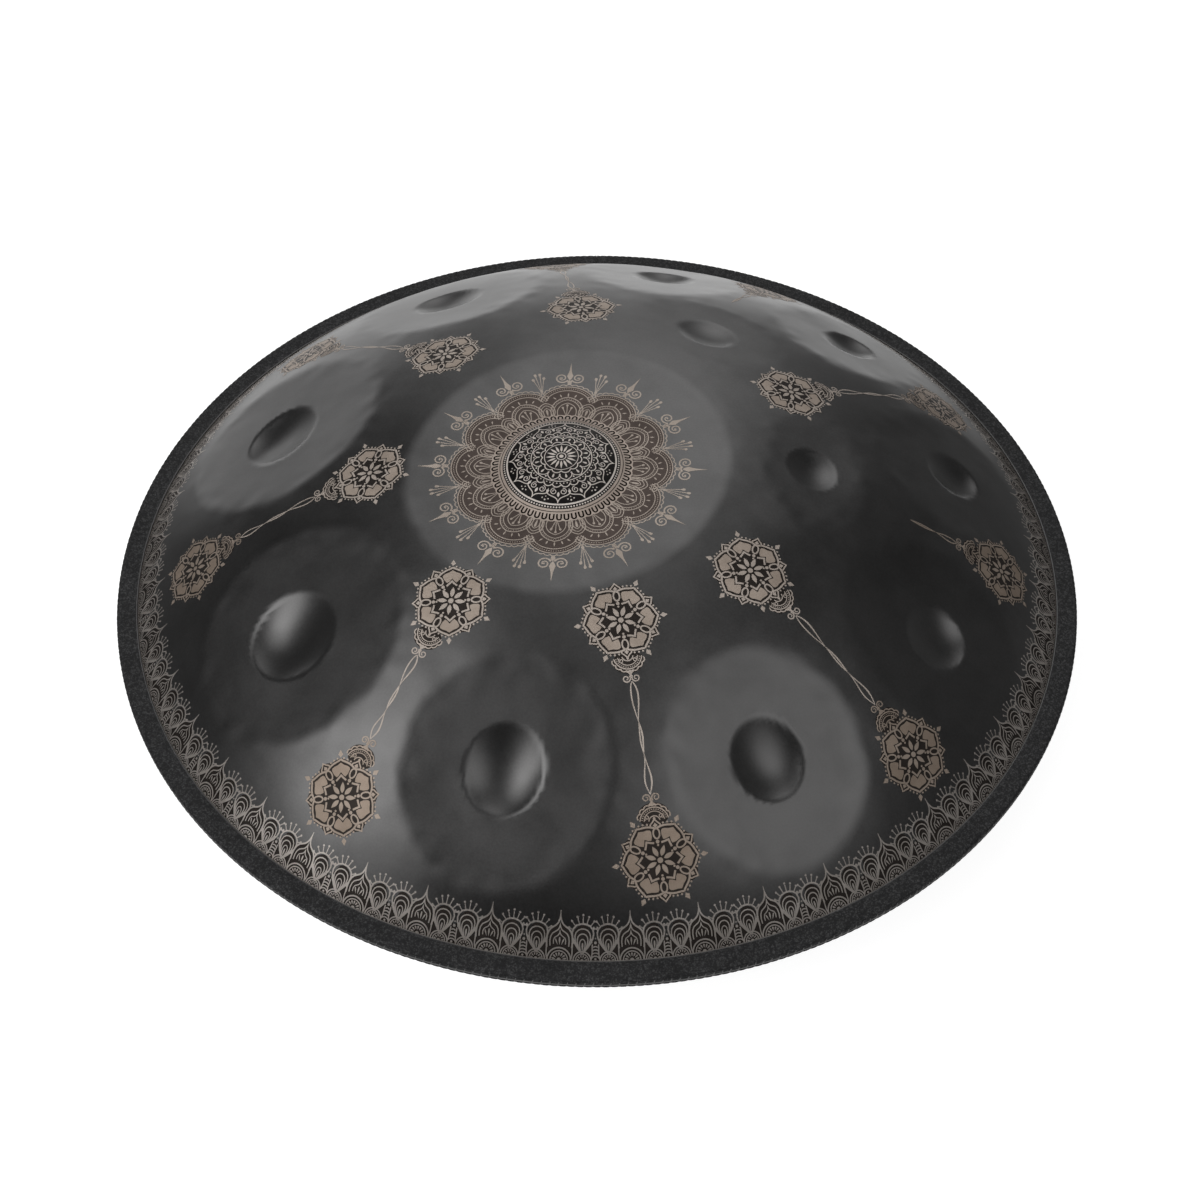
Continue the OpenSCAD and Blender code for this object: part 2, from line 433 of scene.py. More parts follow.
def rubber_material():
    m, nt, b = mat_new("black_rubber")
    g = G(nt)
    n = g.noise(g.pos(), 700.0, 4.0, 0.6)
    g.set(b.inputs["Base Color"], g.mix(n, rgb(0.008, 0.008, 0.008), rgb(0.018, 0.018, 0.019)))
    g.set(b.inputs["Roughness"], g.ramp(n, 0.3, 0.7, 0.6, 0.8))
    g.set(b.inputs["Normal"], g.bump(n, 0.3, 0.0002))
    return m


def glue_material():
    m, nt, b = mat_new("cured_adhesive")
    g = G(nt)
    n = g.noise(g.pos(), 260.0, 4.0, 0.6, 0.4)
    g.set(b.inputs["Base Color"], g.mix(n, rgb(0.24, 0.2, 0.14), rgb(0.4, 0.35, 0.26)))
    g.set(b.inputs["Roughness"], g.ramp(n, 0.3, 0.7, 0.35, 0.55))
    g.set(b.inputs["Normal"], g.bump(n, 0.35, 0.0003))
    return m


M_STEEL = steel_material("nitrided_note_steel", (0.170, 0.168, 0.167), 0.335, 1.0)
M_BOWL = steel_material("nitrided_bowl_steel", (0.150, 0.149, 0.149), 0.36, 5.0)
M_LEATHER = leather_material()
M_THREAD = thread_material()
M_RUBBER = rubber_material()
M_GLUE = glue_material()

for node, mat in (("flange_adhesive", M_GLUE), ("rim_rubber_channel", M_RUBBER)):
    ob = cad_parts[node]
    if not ob.material_slots:
        ob.data.materials.append(mat)
    for s in ob.material_slots:
        s.material = mat


# ---------------------------------------------------------------- note shell
def smoothstep(t):
    t = np.clip(t, 0, 1)
    return t * t * (3 - 2 * t)


def build_note_shell():
    ns = 420
    foot = FOOT_R - (SHEET + 0.25) * 0.815
    rho = np.concatenate(
        [
            np.arange(1.2, 30, 1.6),
            np.arange(30, 43, 0.85),
            np.arange(43.5, foot - 2, 1.78),
            [foot - 1.2, foot - 0.45, foot],
        ]
    )
    a = np.arange(ns) * 2 * pi / ns
    ca, sa = np.cos(a), np.sin(a)
    off = 1 - smoothstep((rho - 55) / 185.0)
    x = DING[0] * off[:, None] + rho[:, None] * ca
    y = DING[1] * off[:, None] + rho[:, None] * sa
    z = surface(x, y)
    n = normal(x, y)
    top = SHEET + 0.25
    verts = [np.stack([x, y, z], -1).reshape(-1, 3)]
    norms = [n.reshape(-1, 3)]
    # flange: out along the top, round the edge, back along the joint plane
    fl = [(foot + 0.5, top + 0.02, 0), (foot + 2.5, top, 0), (277.1, top, 0), (277.45, top - 0.2, 1), (277.5, 0.6, 1), (277.4, 0.27, 1), (277.1, 0.25, 2), (FOOT_R + 0.2, 0.25, 2)]
    for r, zz, k in fl:
        verts.append(np.stack([r * ca, r * sa, np.full(ns, zz)], -1))
        norms.append({0: np.tile([0, 0, 1.0], (ns, 1)), 1: np.stack([ca, sa, 0 * ca], -1), 2: np.tile([0, 0, -1.0], (ns, 1))}[k])
    # inside surface, from the flange up to the crown
    rin = np.concatenate([[FOOT_R - 2.3], np.arange(264, 44, -6.0), np.arange(42, 2, -4.0)])
    offi = 1 - smoothstep((rin - 55) / 185.0)
    xi = DING[0] * offi[:, None] + rin[:, None] * ca
    yi = DING[1] * offi[:, None] + rin[:, None] * sa
    zi = surface(xi, yi, False)
    ni = normal(xi, yi, False)
    pi_ = np.stack([xi, yi, zi], -1) - ni * SHEET
    verts.append(pi_.reshape(-1, 3))
    norms.append(-ni.reshape(-1, 3))
    nr = len(rho) + len(fl) + len(rin)
    v = np.concatenate(verts)
    nn = np.concatenate(norms)
    faces = ring_faces(nr, ns)
    c0 = np.array([[DING[0], DING[1], float(surface(*DING))], [DING[0], DING[1], float(surface(*DING)) - SHEET]])
    v = np.concatenate([v, c0])
    nn = np.concatenate([nn, [[0, 0, 1.0], [0, 0, -1.0]]])
    j = np.arange(ns)
    cap_top = np.stack([np.full(ns, len(v) - 2), j, (j + 1) % ns], -1)
    lb = (nr - 1) * ns
    cap_bot = np.stack([np.full(ns, len(v) - 1), lb + (j + 1) % ns, lb + j], -1)
    faces = faces[:, ::-1]
    return make_mesh("note_shell", v, [faces, cap_top, cap_bot], M_STEEL, nn)


note_shell = build_note_shell()
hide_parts("top_shell")
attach(note_shell, "root")


# ---------------------------------------------------------------- bottom shell
def build_bowl():
    bcr, ba, land, port, roll, neck = 380.0, math.radians(30), 63.0, 49.0, 4.0, 30.0
    h = RIM_Z + bcr - math.sqrt(bcr**2 - land**2)
    k = (FOOT_R**2 + (bcr - h) ** 2 - bcr**2) / (2 * (FOOT_R * math.sin(ba) + (bcr - h) * math.cos(ba) - bcr))
    sr, sx = bcr - k, k * math.sin(ba)
    cz = h - bcr
    sz = cz + k * math.cos(ba)
    jr = bcr * math.sin(ba)

    def bowl(r, off):
        a = cz + np.sqrt((bcr - off) ** 2 - np.minimum(r, jr) ** 2)
        b = sz + np.sqrt(np.maximum((sr - off) ** 2 - (r - sx) ** 2, 0.0))
        return -np.where(r < (bcr - off) * math.sin(ba), a, b)

    t = SHEET
    base = -RIM_Z
    prof = []
    r_out = np.concatenate([np.linspace(FOOT_R - 1.1, land + 1.0, 92)])
    prof += [(277.45, -0.45), (277.5, -1.2), (277.3, -1.43), (FOOT_R + 0.3, -1.45)]
    prof += [(r, float(bowl(r, 0))) for r in r_out]
    # rest ring with softened corners, rolled mouth, neck
    prof += [(land + 0.2, base + 0.035), (land - 0.8, base + 0.004), (land - 1.6, base)]
    prof += [(r, base) for r in (60, 57.5, 55)]
    for d in range(0, 91, 9):
        q = math.radians(d)
        prof.append((port + roll - roll * math.sin(q), base + roll - roll * math.cos(q)))
    prof += [(port, base + zz) for zz in (8, 14, 20, 25, 28.8)]
    # small rounded free edge
    for d in range(0, 181, 30):
        q = math.radians(d)
        prof.append((port + t / 2 - t / 2 * math.cos(q), base + neck - 0.6 + 0.6 * math.sin(q)))
    prof += [(port + t, base + zz) for zz in (25, 18, 11, 5.5)]
    for d in range(90, -1, -15):
        q = math.radians(d)
        prof.append((port + roll - (roll - t) * math.sin(q), base + roll - (roll - t) * math.cos(q)))
    prof += [(57, base + t), (60.5, base + t), (land - 0.3, base + t + 0.02)]
    r_in = np.linspace(land + 2.0, FOOT_R - 2.6, 46)
    prof += [(r, float(bowl(r, t))) for r in r_in]
    prof += [(FOOT_R - 1.5, -0.3), (FOOT_R - 0.9, -0.25), (274.5, -0.25), (277.2, -0.27)]
    prof = np.array(prof)
    ns = 360
    v, f = revolve(prof, ns)
    # a very slight unevenness from spinning and hammering, nothing at the rest ring, neck or flange
    r = np.hypot(v[:, 0], v[:, 1])
    w = smoothstep((r - 70) / 30.0) * smoothstep((258 - r) / 22.0)
    v[:, 2] += w * (_noise(_M1, v[:, 0] * 0.8 + 300, v[:, 1] * 0.8 - 120, 0.006) + 0.35 * _noise(_M2, v[:, 0] - 90, v[:, 1] + 60, 0.006))
    ob = make_mesh("bowl_shell", v, f, M_BOWL)
    ob.data.set_sharp_from_angle(angle=math.radians(34))
    return ob


bowl_shell = build_bowl()
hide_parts("bottom_shell")
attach(bowl_shell, "root")


# ---------------------------------------------------------------- leather band and stitches
N_ST = 400  # overcast stitches round the rim
SEAM_Z = -0.8
BAND_IN = 269.1  # inner radius of the leather


def band_profile(upper):
    """Closed section of one strip as (r, z, pinch) points; pinch says how far the stitches draw that point in."""
    R = RIM_R - 0.02
    t = 0.8
    q0 = BAND_IN
    pts = []
    if upper:
        pts += [(q0 + 0.05, 2.58, 0), (q0 - 0.05, 2.82, 0), (q0 + 0.0, 3.1, 0), (q0 + 0.26, 3.3, 0), (q0 + 0.8, 3.37, 0)]
        for r in (271.2, 272.8, 274.4, 276.0, 277.6):
            pts.append((r, 3.37 + 0.08 * math.sin((r - 269.6) / 10.0 * pi), 0))
        for d in range(0, 91, 15):
            q = math.radians(d)
            pts.append((R - 1.6 + 1.6 * math.sin(q), 3.38 - 1.6 + 1.6 * math.cos(q), 0))
        for z in (1.35, 0.85, 0.4, 0.05, -0.15):
            pts.append((R, z, smoothstep((1.3 - z) / 1.5)))
        pts += [(R - 0.12, -0.4, 1.0), (R - 0.38, -0.55, 1.0), (R - t, -0.5, 0), (R - t, 1.0, 0), (R - t, 2.5, 0), (R - 1.8, 2.56, 0), (274.0, 2.56, 0)]
    else:
        pts += [(R - t, -1.1, 0), (R - 0.38, -1.06, 1.0), (R - 0.12, -1.22, 1.0)]
        for z in (-1.45, -1.75):
            pts.append((R - 0.02, z, smoothstep((z + 2.3) / 1.0)))
        for d in range(0, 91, 15):
            q = math.radians(d)
            pts.append((R - 1.3 + 1.3 * math.cos(q), -3.35 + 1.3 - 1.3 * math.sin(q), 0))
        for r in (277.6, 275.4, 273.0, 271.2):
            pts.append((r, -3.38 - 0.04 * math.sin((r - 269.6) / 10.0 * pi), 0))
        pts += [(q0 + 0.9, -3.36, 0), (q0 + 0.3, -3.28, 0), (q0, -3.0, 0), (q0 + 0.05, -2.58, 0), (274.0, -2.56, 0), (R - 1.8, -2.56, 0), (R - t, -2.4, 0)]
    return np.array(pts, float)


def build_band(name, upper):
    prof = band_profile(upper)
    ns = N_ST * 6
    gap = 0.00045
    a = np.linspace(pi / 2 + gap, pi / 2 + 2 * pi - gap, ns)
    ph = ((a * N_ST / (2 * pi)) % 1.0) - 0.5
    pull = np.exp(-((ph / 0.17) ** 2))
    puff = 0.06 * np.cos(ph * 2 * pi) * -1
    r = prof[:, 0][:, None] - prof[:, 2][:, None] * (0.24 * pull + puff)[None, :]
    z = np.repeat(prof[:, 1][:, None], ns, 1)
    # each stitch draws a short pucker over the outer corner and into the face
    reach = smoothstep((prof[:, 0] - (RIM_R - 6.5)) / 5.0) * smoothstep((np.abs(prof[:, 1]) - 0.6) / 1.6) * (np.abs(prof[:, 1]) > 2.7 - (prof[:, 0] > RIM_R - 1.0) * 1.6)
    pk = reach[:, None] * (0.2 * pull - 0.06)[None, :]
    z = z - np.sign(prof[:, 1])[:, None] * pk
    r = r - 0.6 * pk
    # slow unevenness of hand-laid leather on the outside faces only
    outer = (np.abs(prof[:, 1]) > 3.1) | (prof[:, 0] > RIM_R - 0.5)
    wob = sum(0.022 * np.sin(k * a + p) for k, p in ((37, 0.4), (61, 2.1), (113, 4.4), (171, 1.2)))
    z = z + outer[:, None] * wob[None, :] * (np.abs(prof[:, 1])[:, None] > 3.1)
    r = r + outer[:, None] * 0.6 * np.roll(wob, 77)[None, :] * (prof[:, 0][:, None] > RIM_R - 0.5) - 0.02
    v = np.stack([r * np.cos(a), r * np.sin(a), z], -1)  # (profile, around, 3)
    n = len(prof)
    v = v.reshape(-1, 3)
    i = np.arange(n)[:, None]
    j = np.arange(ns - 1)[None, :]
    p0 = i * ns + j
    p1 = ((i + 1) % n) * ns + j
    f = np.stack([p0, p0 + 1, p1 + 1, p1], -1).reshape(-1, 4)
    area = 0.5 * np.sum(prof[:, 0] * np.roll(prof[:, 1], -1) - np.roll(prof[:, 0], -1) * prof[:, 1])
    if area < 0:
        f = f[:, ::-1]
    caps = []
    for col, rev in ((0, False), (ns - 1, True)):
        c = np.arange(n) * ns + col
        order = c if (rev == (area > 0)) else c[::-1]
        caps.append(order[None, :])
    ob = make_mesh(name, v, [f] + caps, M_LEATHER)
    ob.data.set_sharp_from_angle(angle=math.radians(60))
    return ob


for nm, up, node in (("rim_band_upper", True, "rim_leather_upper"), ("rim_band_lower", False, "rim_leather_lower")):
    ob = build_band(nm, up)
    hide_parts(node)
    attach(ob, "root")


def build_stitches():
    """One short slanted thread over the seam for each stitch, and the cord it is sewn round."""
    verts, faces = [], []
    m = 8
    path = [(-0.5, -2.5), (0.0, -2.15), (0.2, -1.6), (0.26, -0.8), (0.26, 0.1), (0.2, 0.95), (0.0, 1.5), (-0.5, 1.85)]
    k = 6
    base = 0
    for s in range(N_ST):
        a = (s + 0.5) * 2 * pi / N_ST
        if abs(math.sin((a - pi / 2) / 2)) < 0.002:
            continue
        for idx in range(m):
            dr, z = path[idx]
            da = (z + 0.4) * 0.0009
            rr = RIM_R - 0.22 + dr * 0.8
            tr = 0.27 if 0 < idx < m - 1 else 0.16
            q = np.arange(k) * 2 * pi / k
            px = rr + tr * np.cos(q) * 0.85
            ty = tr * np.sin(q)
            ca, sa = math.cos(a + da), math.sin(a + da)
            verts.append(np.stack([px * ca - ty * sa, px * sa + ty * ca, np.full(k, z)], -1))
        f = ring_faces(m, k, base)
        faces.append(f)
        base += m * k
    v = np.concatenate(verts)
    f = np.concatenate(faces)
    nst = base // (m * k)
    lo = np.arange(nst)[:, None] * m * k
    cap0 = lo + np.arange(k)[::-1][None, :]
    cap1 = lo + (m - 1) * k + np.arange(k)[None, :]
    # cord in the seam
    prof = [(RIM_R - 0.32 + 0.42 * math.cos(q), SEAM_Z + 0.42 * math.sin(q)) for q in np.arange(8) * 2 * pi / 8]
    vc, fc = revolve(prof, 720)
    f2 = fc + len(v)
    v = np.concatenate([v, vc])
    return make_mesh("rim_stitching", v, [f, cap0, cap1, f2], M_THREAD)


ob = build_stitches()
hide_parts("rim_seam_cord")
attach(ob, "root")


# ---------------------------------------------------------------- etched ornament
# Every mark is a thin closed strip or chip laid on the steel, drawn in flat millimetres by the pen
# helpers below and then carried onto the surface() by a mapping from the local drawing to plan x, y.
def etch_material(name, lo, hi, rough, metal):
    m, nt, b = mat_new(name)
    g = G(nt)
    p = g.pos()
    n = g.noise(p, 55.0, 3.0, 0.6)
    f = g.noise(p, 1500.0, 3.0, 0.7)
    # laser hatch: fine parallel passes about 0.12 mm apart
    o = g.sep(p)
    hatch = g.math("MULTIPLY_ADD", g.math("SINE", g.math("MULTIPLY", g.math("ADD", o[0], o[1]), 37000.0)), 0.5, 0.5)
    t = g.ramp(g.math("ADD", g.math("MULTIPLY", n, 0.6), g.math("MULTIPLY", f, 0.4)), 0.36, 0.64, 0.0, 1.0, True)
    col = g.mix(t, rgb(*lo), rgb(*hi))
    col = g.vscale(col, g.ramp(hatch, 0.0, 1.0, 0.93, 1.05))
    g.set(b.inputs["Base Color"], col)
    b.inputs["Metallic"].default_value = metal
    g.set(b.inputs["Roughness"], g.ramp(f, 0.3, 0.7, rough - 0.05, rough + 0.07))
    g.set(b.inputs["Normal"], g.bump(g.math("ADD", g.math("MULTIPLY", hatch, 0.5), f), 0.2, 0.00006))
    return m


M_PALE = etch_material("etched_pale", (0.42, 0.362, 0.316), (0.54, 0.472, 0.418), 0.47, 0.56)
M_COPPER = etch_material("etched_copper", (0.355, 0.300, 0.255), (0.465, 0.400, 0.345), 0.46, 0.5)
# Darker, more metallic copy of the pale etch for the outer medallions: the darkening is painted shade standing in for
# their weaker sheen, not a different etch.
M_ETCH_OUTER_PAINTED_SHADE = etch_material("etched_outer_painted_shade", (0.335, 0.272, 0.222), (0.44, 0.364, 0.305), 0.44, 0.72)
M_LACE = etch_material("etched_lace", (0.53, 0.48, 0.44), (0.70, 0.645, 0.60), 0.36, 0.88)
M_COLLAR = etch_material("etched_collar", (0.37, 0.305, 0.26), (0.49, 0.415, 0.36), 0.45, 0.5)
M_BRIGHT = etch_material("etched_bright", (0.56, 0.51, 0.465), (0.72, 0.665, 0.615), 0.45, 0.5)
M_DARK = steel_material("blackened_centre_steel", (0.040, 0.037, 0.036), 0.38, 9.0)
M_TAN = etch_material("etched_tan", (0.36, 0.295, 0.245), (0.46, 0.385, 0.325), 0.47, 0.56)
# Darker, more metallic copy of the tan shields for the outer medallions: painted shade standing in for their weaker
# sheen, not a different etch.
M_TAN_PAINTED_SHADE = etch_material("etched_tan_painted_shade", (0.295, 0.232, 0.182), (0.385, 0.308, 0.248), 0.44, 0.72)
M_UNDER = etch_material("etched_under", (0.040, 0.033, 0.029), (0.056, 0.047, 0.042), 0.5, 0.85)
M_TEETH = steel_material("blackened_teeth", (0.020, 0.016, 0.014), 0.5, 3.0)


def arc(cx, cy, r, a0, a1, n=12, ry=None):
    a = np.radians(np.linspace(a0, a1, n))
    return np.stack([cx + r * np.cos(a), cy + (ry or r) * np.sin(a)], -1)


def bez(p0, p1, p2, p3, n=9):
    t = np.linspace(0, 1, n)[:, None]
    p0, p1, p2, p3 = (np.array(p, float) for p in (p0, p1, p2, p3))
    return (1 - t) ** 3 * p0 + 3 * (1 - t) ** 2 * t * p1 + 3 * (1 - t) * t * t * p2 + t**3 * p3


def join(*ps):
    out = [np.asarray(ps[0], float)]
    for p in ps[1:]:
        p = np.asarray(p, float)
        out.append(p[1:] if np.hypot(*(p[0] - out[-1][-1])) < 1e-6 else p)
    return np.concatenate(out)


def xf(p, ang=0.0, dx=0.0, dy=0.0, mirror=False, k=1.0):
    p = np.asarray(p, float) * k
    if mirror:
        p = p * np.array([-1.0, 1.0])
    a = math.radians(ang)
    c, s = math.cos(a), math.sin(a)
    return np.stack([p[..., 0] * c - p[..., 1] * s + dx, p[..., 0] * s + p[..., 1] * c + dy], -1)


def mir(p):
    return np.asarray(p, float)[::-1] * np.array([-1.0, 1.0])


def drop(length, w, n=12, m=1.4):
    """Teardrop: tip at the origin, round end at (0, length)."""
    th = np.arange(n) * 2 * pi / n
    return np.stack([w * np.sin(th) * np.abs(np.sin(th / 2)) ** m, 0.5 * length * (1 - np.cos(th))], -1)


def leaf(length, w, n=6, p=1.0):
    """Two-pointed leaf from the origin to (0, length)."""
    t = np.linspace(0, 1, n + 1)
    x = w * np.sin(pi * t**p)
    return np.concatenate([np.stack([x, t * length], -1), np.stack([-x, t * length], -1)[::-1][1:-1]])


def spiral(cx, cy, r0, r1, a0, turns, n=20):
    t = np.linspace(0, 1, n)
    a = np.radians(a0 + 360 * turns * t)
    r = r0 + (r1 - r0) * t
    return np.stack([cx + r * np.cos(a), cy + r * np.sin(a)], -1)


def ogee(w, y0, y1, tip, n=7):
    """Pointed arch standing on y0: half width w, shoulders to y1, then drawn up into a thin tip."""
    right = join(
        bez((w, y0), (w * 1.12, y0 + (y1 - y0) * 0.55), (w * 0.98, y1 - (y1 - y0) * 0.12), (w * 0.52, y1), n),
        bez((w * 0.52, y1), (w * 0.2, y1 + (tip - y1) * 0.2), (0.05 * w, y1 + (tip - y1) * 0.45), (0, tip), n),
    )
    return join(right, mir(right))


def scallops(cx, cy, r, a0, a1, k, bulge, n=6):
    t = np.linspace(0, 1, k * n + 1)
    a = np.radians(a0 + (a1 - a0) * t)
    rr = r + bulge * np.abs(np.sin(pi * k * t)) ** 0.75
    return np.stack([cx + rr * np.cos(a), cy + rr * np.sin(a)], -1)


class Etch:
    """Collects marks, then builds them as one mesh lying on the note shell."""

    DEEP = 0.3

    def __init__(self, name, mat, lift=0.07):
        self.name, self.mat, self.lift = name, mat, lift
        self.xy, self.h, self.q, self.t, self.n = [], [], [], [], 0

    def line(self, p, w, mp, closed=False):
        p = np.asarray(p, float)
        n = len(p)
        if closed:
            d1 = p - np.roll(p, 1, 0)
            d2 = np.roll(p, -1, 0) - p
        else:
            d = np.diff(p, axis=0)
            d1 = np.concatenate([d[:1], d])
            d2 = np.concatenate([d, d[-1:]])
        d1 = d1 / np.maximum(np.hypot(d1[:, 0], d1[:, 1]), 1e-9)[:, None]
        d2 = d2 / np.maximum(np.hypot(d2[:, 0], d2[:, 1]), 1e-9)[:, None]
        s = d1 + d2
        ln = np.maximum(np.hypot(s[:, 0], s[:, 1]), 0.6)
        tn = s / np.maximum(np.hypot(s[:, 0], s[:, 1]), 1e-6)[:, None]
        nn = np.stack([-tn[:, 1], tn[:, 0]], -1)
        half = (np.broadcast_to(np.asarray(w, float), (n,)) * 0.5 * (2.0 / ln))[:, None]
        pts = mp(np.concatenate([p + nn * half, p - nn * half, p]))
        L, R = pts[:n], pts[n : 2 * n]
        k = max(n // 2 - 1, 0)
        e1, e2 = R[k] - L[k], L[k + 1] - L[k]
        ccw = e1[0] * e2[1] - e1[1] * e2[0] > 0
        i = np.arange(n if closed else n - 1)
        j = (i + 1) % n
        b = self.n
        li, lj, ri, rj, bi, bj = b + i, b + j, b + n + i, b + n + j, b + 2 * n + i, b + 2 * n + j
        q = np.concatenate([np.stack([li, ri, rj, lj], -1), np.stack([li, lj, bj, bi], -1), np.stack([ri, bi, bj, rj], -1)])
        self.q.append(q if ccw else q[:, ::-1])
        if not closed:
            e = n - 1
            t = np.array([[b, b + 2 * n, b + n], [b + e, b + n + e, b + 2 * n + e]])
            self.t.append(t if ccw else t[:, ::-1])
        self.xy.append(pts)
        self.h.append(np.concatenate([np.full(2 * n, self.lift), np.full(n, -self.DEEP)]))
        self.n += 3 * n

    def fill(self, p, mp, centre=None):
        """A flat chip with a star-shaped outline; p is its closed outline without the repeated end."""
        p = np.asarray(p, float)
        n = len(p)
        c = p.mean(0) if centre is None else np.asarray(centre, float)
        pts = mp(np.concatenate([p, c[None], c[None]]))
        o = pts[:n]
        a = np.sum(o[:, 0] * np.roll(o[:, 1], -1) - np.roll(o[:, 0], -1) * o[:, 1])
        b = self.n
        i = np.arange(n)
        j = (i + 1) % n
        t = np.concatenate([np.stack([b + i, b + j, np.full(n, b + n)], -1), np.stack([b + j, b + i, np.full(n, b + n + 1)], -1)])
        self.t.append(t if a > 0 else t[:, ::-1])
        self.xy.append(pts)
        self.h.append(np.concatenate([np.full(n + 1, self.lift), [-self.DEEP]]))
        self.n += n + 2

    def dot(self, x, y, r, mp, n=7):
        a = np.arange(n) * 2 * pi / n + 0.3
        self.fill(np.stack([x + r * np.cos(a), y + r * np.sin(a)], -1), mp)

    def beads(self, p, pitch, r, mp, n=6):
        p = np.asarray(p, float)
        s = np.concatenate([[0], np.cumsum(np.hypot(*np.diff(p, axis=0).T))])
        k = max(int(round(s[-1] / pitch)), 1)
        for t in (np.arange(k) + 0.5) / k * s[-1]:
            self.dot(np.interp(t, s, p[:, 0]), np.interp(t, s, p[:, 1]), r, mp, n)

    def build(self):
        xy = np.concatenate(self.xy)
        h = np.concatenate(self.h)
        z = surface(xy[:, 0], xy[:, 1])
        nn = normal(xy[:, 0], xy[:, 1])
        v = np.stack([xy[:, 0], xy[:, 1], z], -1) + nn * h[:, None]
        ob = make_mesh(self.name, v, [np.concatenate(self.q), np.concatenate(self.t)] if self.q else [np.concatenate(self.t)], self.mat, nn)
        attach(ob, "root")
        return ob


# ---- mandala round the centre note, laid out in plan about the ding centre
TURN = -3.48


def polar_map(ang):
    """Local x across, y outwards along the ray at ang degrees from the ding centre."""
    a = math.radians(ang)
    c, s = math.cos(a), math.sin(a)

    def mp(p):
        return np.stack([DING[0] + p[..., 1] * c - p[..., 0] * s, DING[1] + p[..., 1] * s + p[..., 0] * c], -1)

    return mp


def ring(r, n=180):
    return arc(0, 0, r, 0, 360 - 360.0 / n, n)


def build_mandala():
    e = Etch("mandala_etching", M_COPPER)
    flat = polar_map(90.0)
    for k in range(12):
        mp = polar_map(TURN + 30 * k)
        # big double arch with beads between and a scalloped rim
        a0, a1 = 6, 174
        e.line(arc(0, 47.8, 15.4, a0, a1, 25, 13.4), 0.6, mp)
        e.beads(arc(0, 47.8, 14.0, a0 + 2, a1 - 2, 40, 12.0), 1.28, 0.34, mp, 5)
        e.line(arc(0, 47.8, 12.6, a0 + 2, a1 - 2, 23, 10.5), 0.5, mp)
        e.line(scallops(0, 47.8, 16.3, a0 + 4, a1 - 4, 13, 1.0, 5) * np.array([1, 1]) - np.array([0, 0]), 0.62, lambda p, mp=mp: mp(np.stack([p[..., 0], 47.8 + (p[..., 1] - 47.8) * 0.885], -1)))
        for a in (38, 64, 90, 116, 142):
            c, s = math.cos(math.radians(a)), math.sin(math.radians(a))
            e.fill(xf(leaf(3.2 if a == 90 else 2.6, 0.42, 4), a - 90, 8.2 * c, 47.8 + 5.6 * s), mp)
        # large nested petal
        for w, top, lw in ((9.3, 53.2, 0.55), (7.7, 51.2, 0.45), (5.5, 48.6, 0.5)):
            up = join([(w * 0.86, 38.4)], bez((w * 0.86, 38.4), (w * 1.12, 42.5), (w * 0.95, top - 1.6), (0, top), 9))
            e.line(join(up, mir(up)), lw, mp)
        e.beads(join(bez((7.4, 40.0), (9.5, 43), (7.9, 50.4), (0, 52.2), 12), mir(bez((7.4, 40.0), (9.5, 43), (7.9, 50.4), (0, 52.2), 12))), 1.35, 0.27, mp, 5)
        for a, l0 in ((-20, 5.2), (0, 7.2), (20, 5.2)):
            base = np.array([math.sin(math.radians(a)) * 1.4, 39.4])
            e.line(xf([(0, 0), (0, l0 * 0.5), (0, l0)], -a, *base), [0.35, 0.45, 0.55], mp)
            e.fill(xf(drop(2.4, 1.0, 9), -a, *(base + l0 * 0.82 * np.array([math.sin(math.radians(a)), math.cos(math.radians(a))]))), mp)
        # paired curls and the filled spike
        for sgn in (1, -1):
            cur = spiral(4.6, 68.2, 3.8, 0.9, -150, 1.5, 24)
            stem = bez((0.5, 63.3), (1.0, 66.2), (0.7, 65.2), tuple(cur[0]), 5)
            pth = join(stem, cur)
            if sgn < 0:
                pth = mir(pth)[::-1]
            e.line(pth, np.linspace(1.0, 0.62, len(pth)), mp)
            e.dot(sgn * 4.7, 68.2, 0.62, mp)
        sp = np.array([(0, 66.4), (1.0, 67.9), (1.85, 70.0), (1.15, 71.9), (0.62, 74.2), (0.34, 77.2), (0, 80.6)])
        e.fill(np.concatenate([sp, mir(sp)[1:-1]]), mp, centre=(0, 70.2))
        e.fill(leaf(3.4, 1.2, 5) + np.array([0, 63.2]), mp)
    for k in range(12):
        mp = polar_map(TURN + 15 + 30 * k)
        # small nested petal
        for w, top, lw in ((5.0, 49.6, 0.5), (3.7, 47.8, 0.42), (2.3, 45.7, 0.42)):
            up = bez((w * 0.6, 38.6), (w * 1.15, 42.0), (w * 1.0, top - 1.2), (0, top), 8)
            e.line(join(up, mir(up)), lw, mp)
        e.fill(drop(5.6, 0.95, 9) + np.array([0, 39.2]), mp)
        # fanned stamens with drop heads
        for a, l1, hw in ((-15, 10.0, 0.9), (-5.2, 13.2, 1.0), (5.2, 13.2, 1.0), (15, 10.0, 0.9)):
            sa, ca = math.sin(math.radians(a)), math.cos(math.radians(a))
            b0 = np.array([sa * 2.4, 60.2])
            e.line([b0, b0 + 0.5 * l1 * np.array([sa, ca]), b0 + (l1 - 1) * np.array([sa, ca])], [0.34, 0.42, 0.55], mp)
            e.fill(xf(drop(3.2, 1.25, 9), -a, *(b0 + (l1 - 2.6) * np.array([sa, ca]))), mp)
        e.fill(leaf(3.4, 0.9, 4) + np.array([0, 57.6]), mp)
    return e.build()


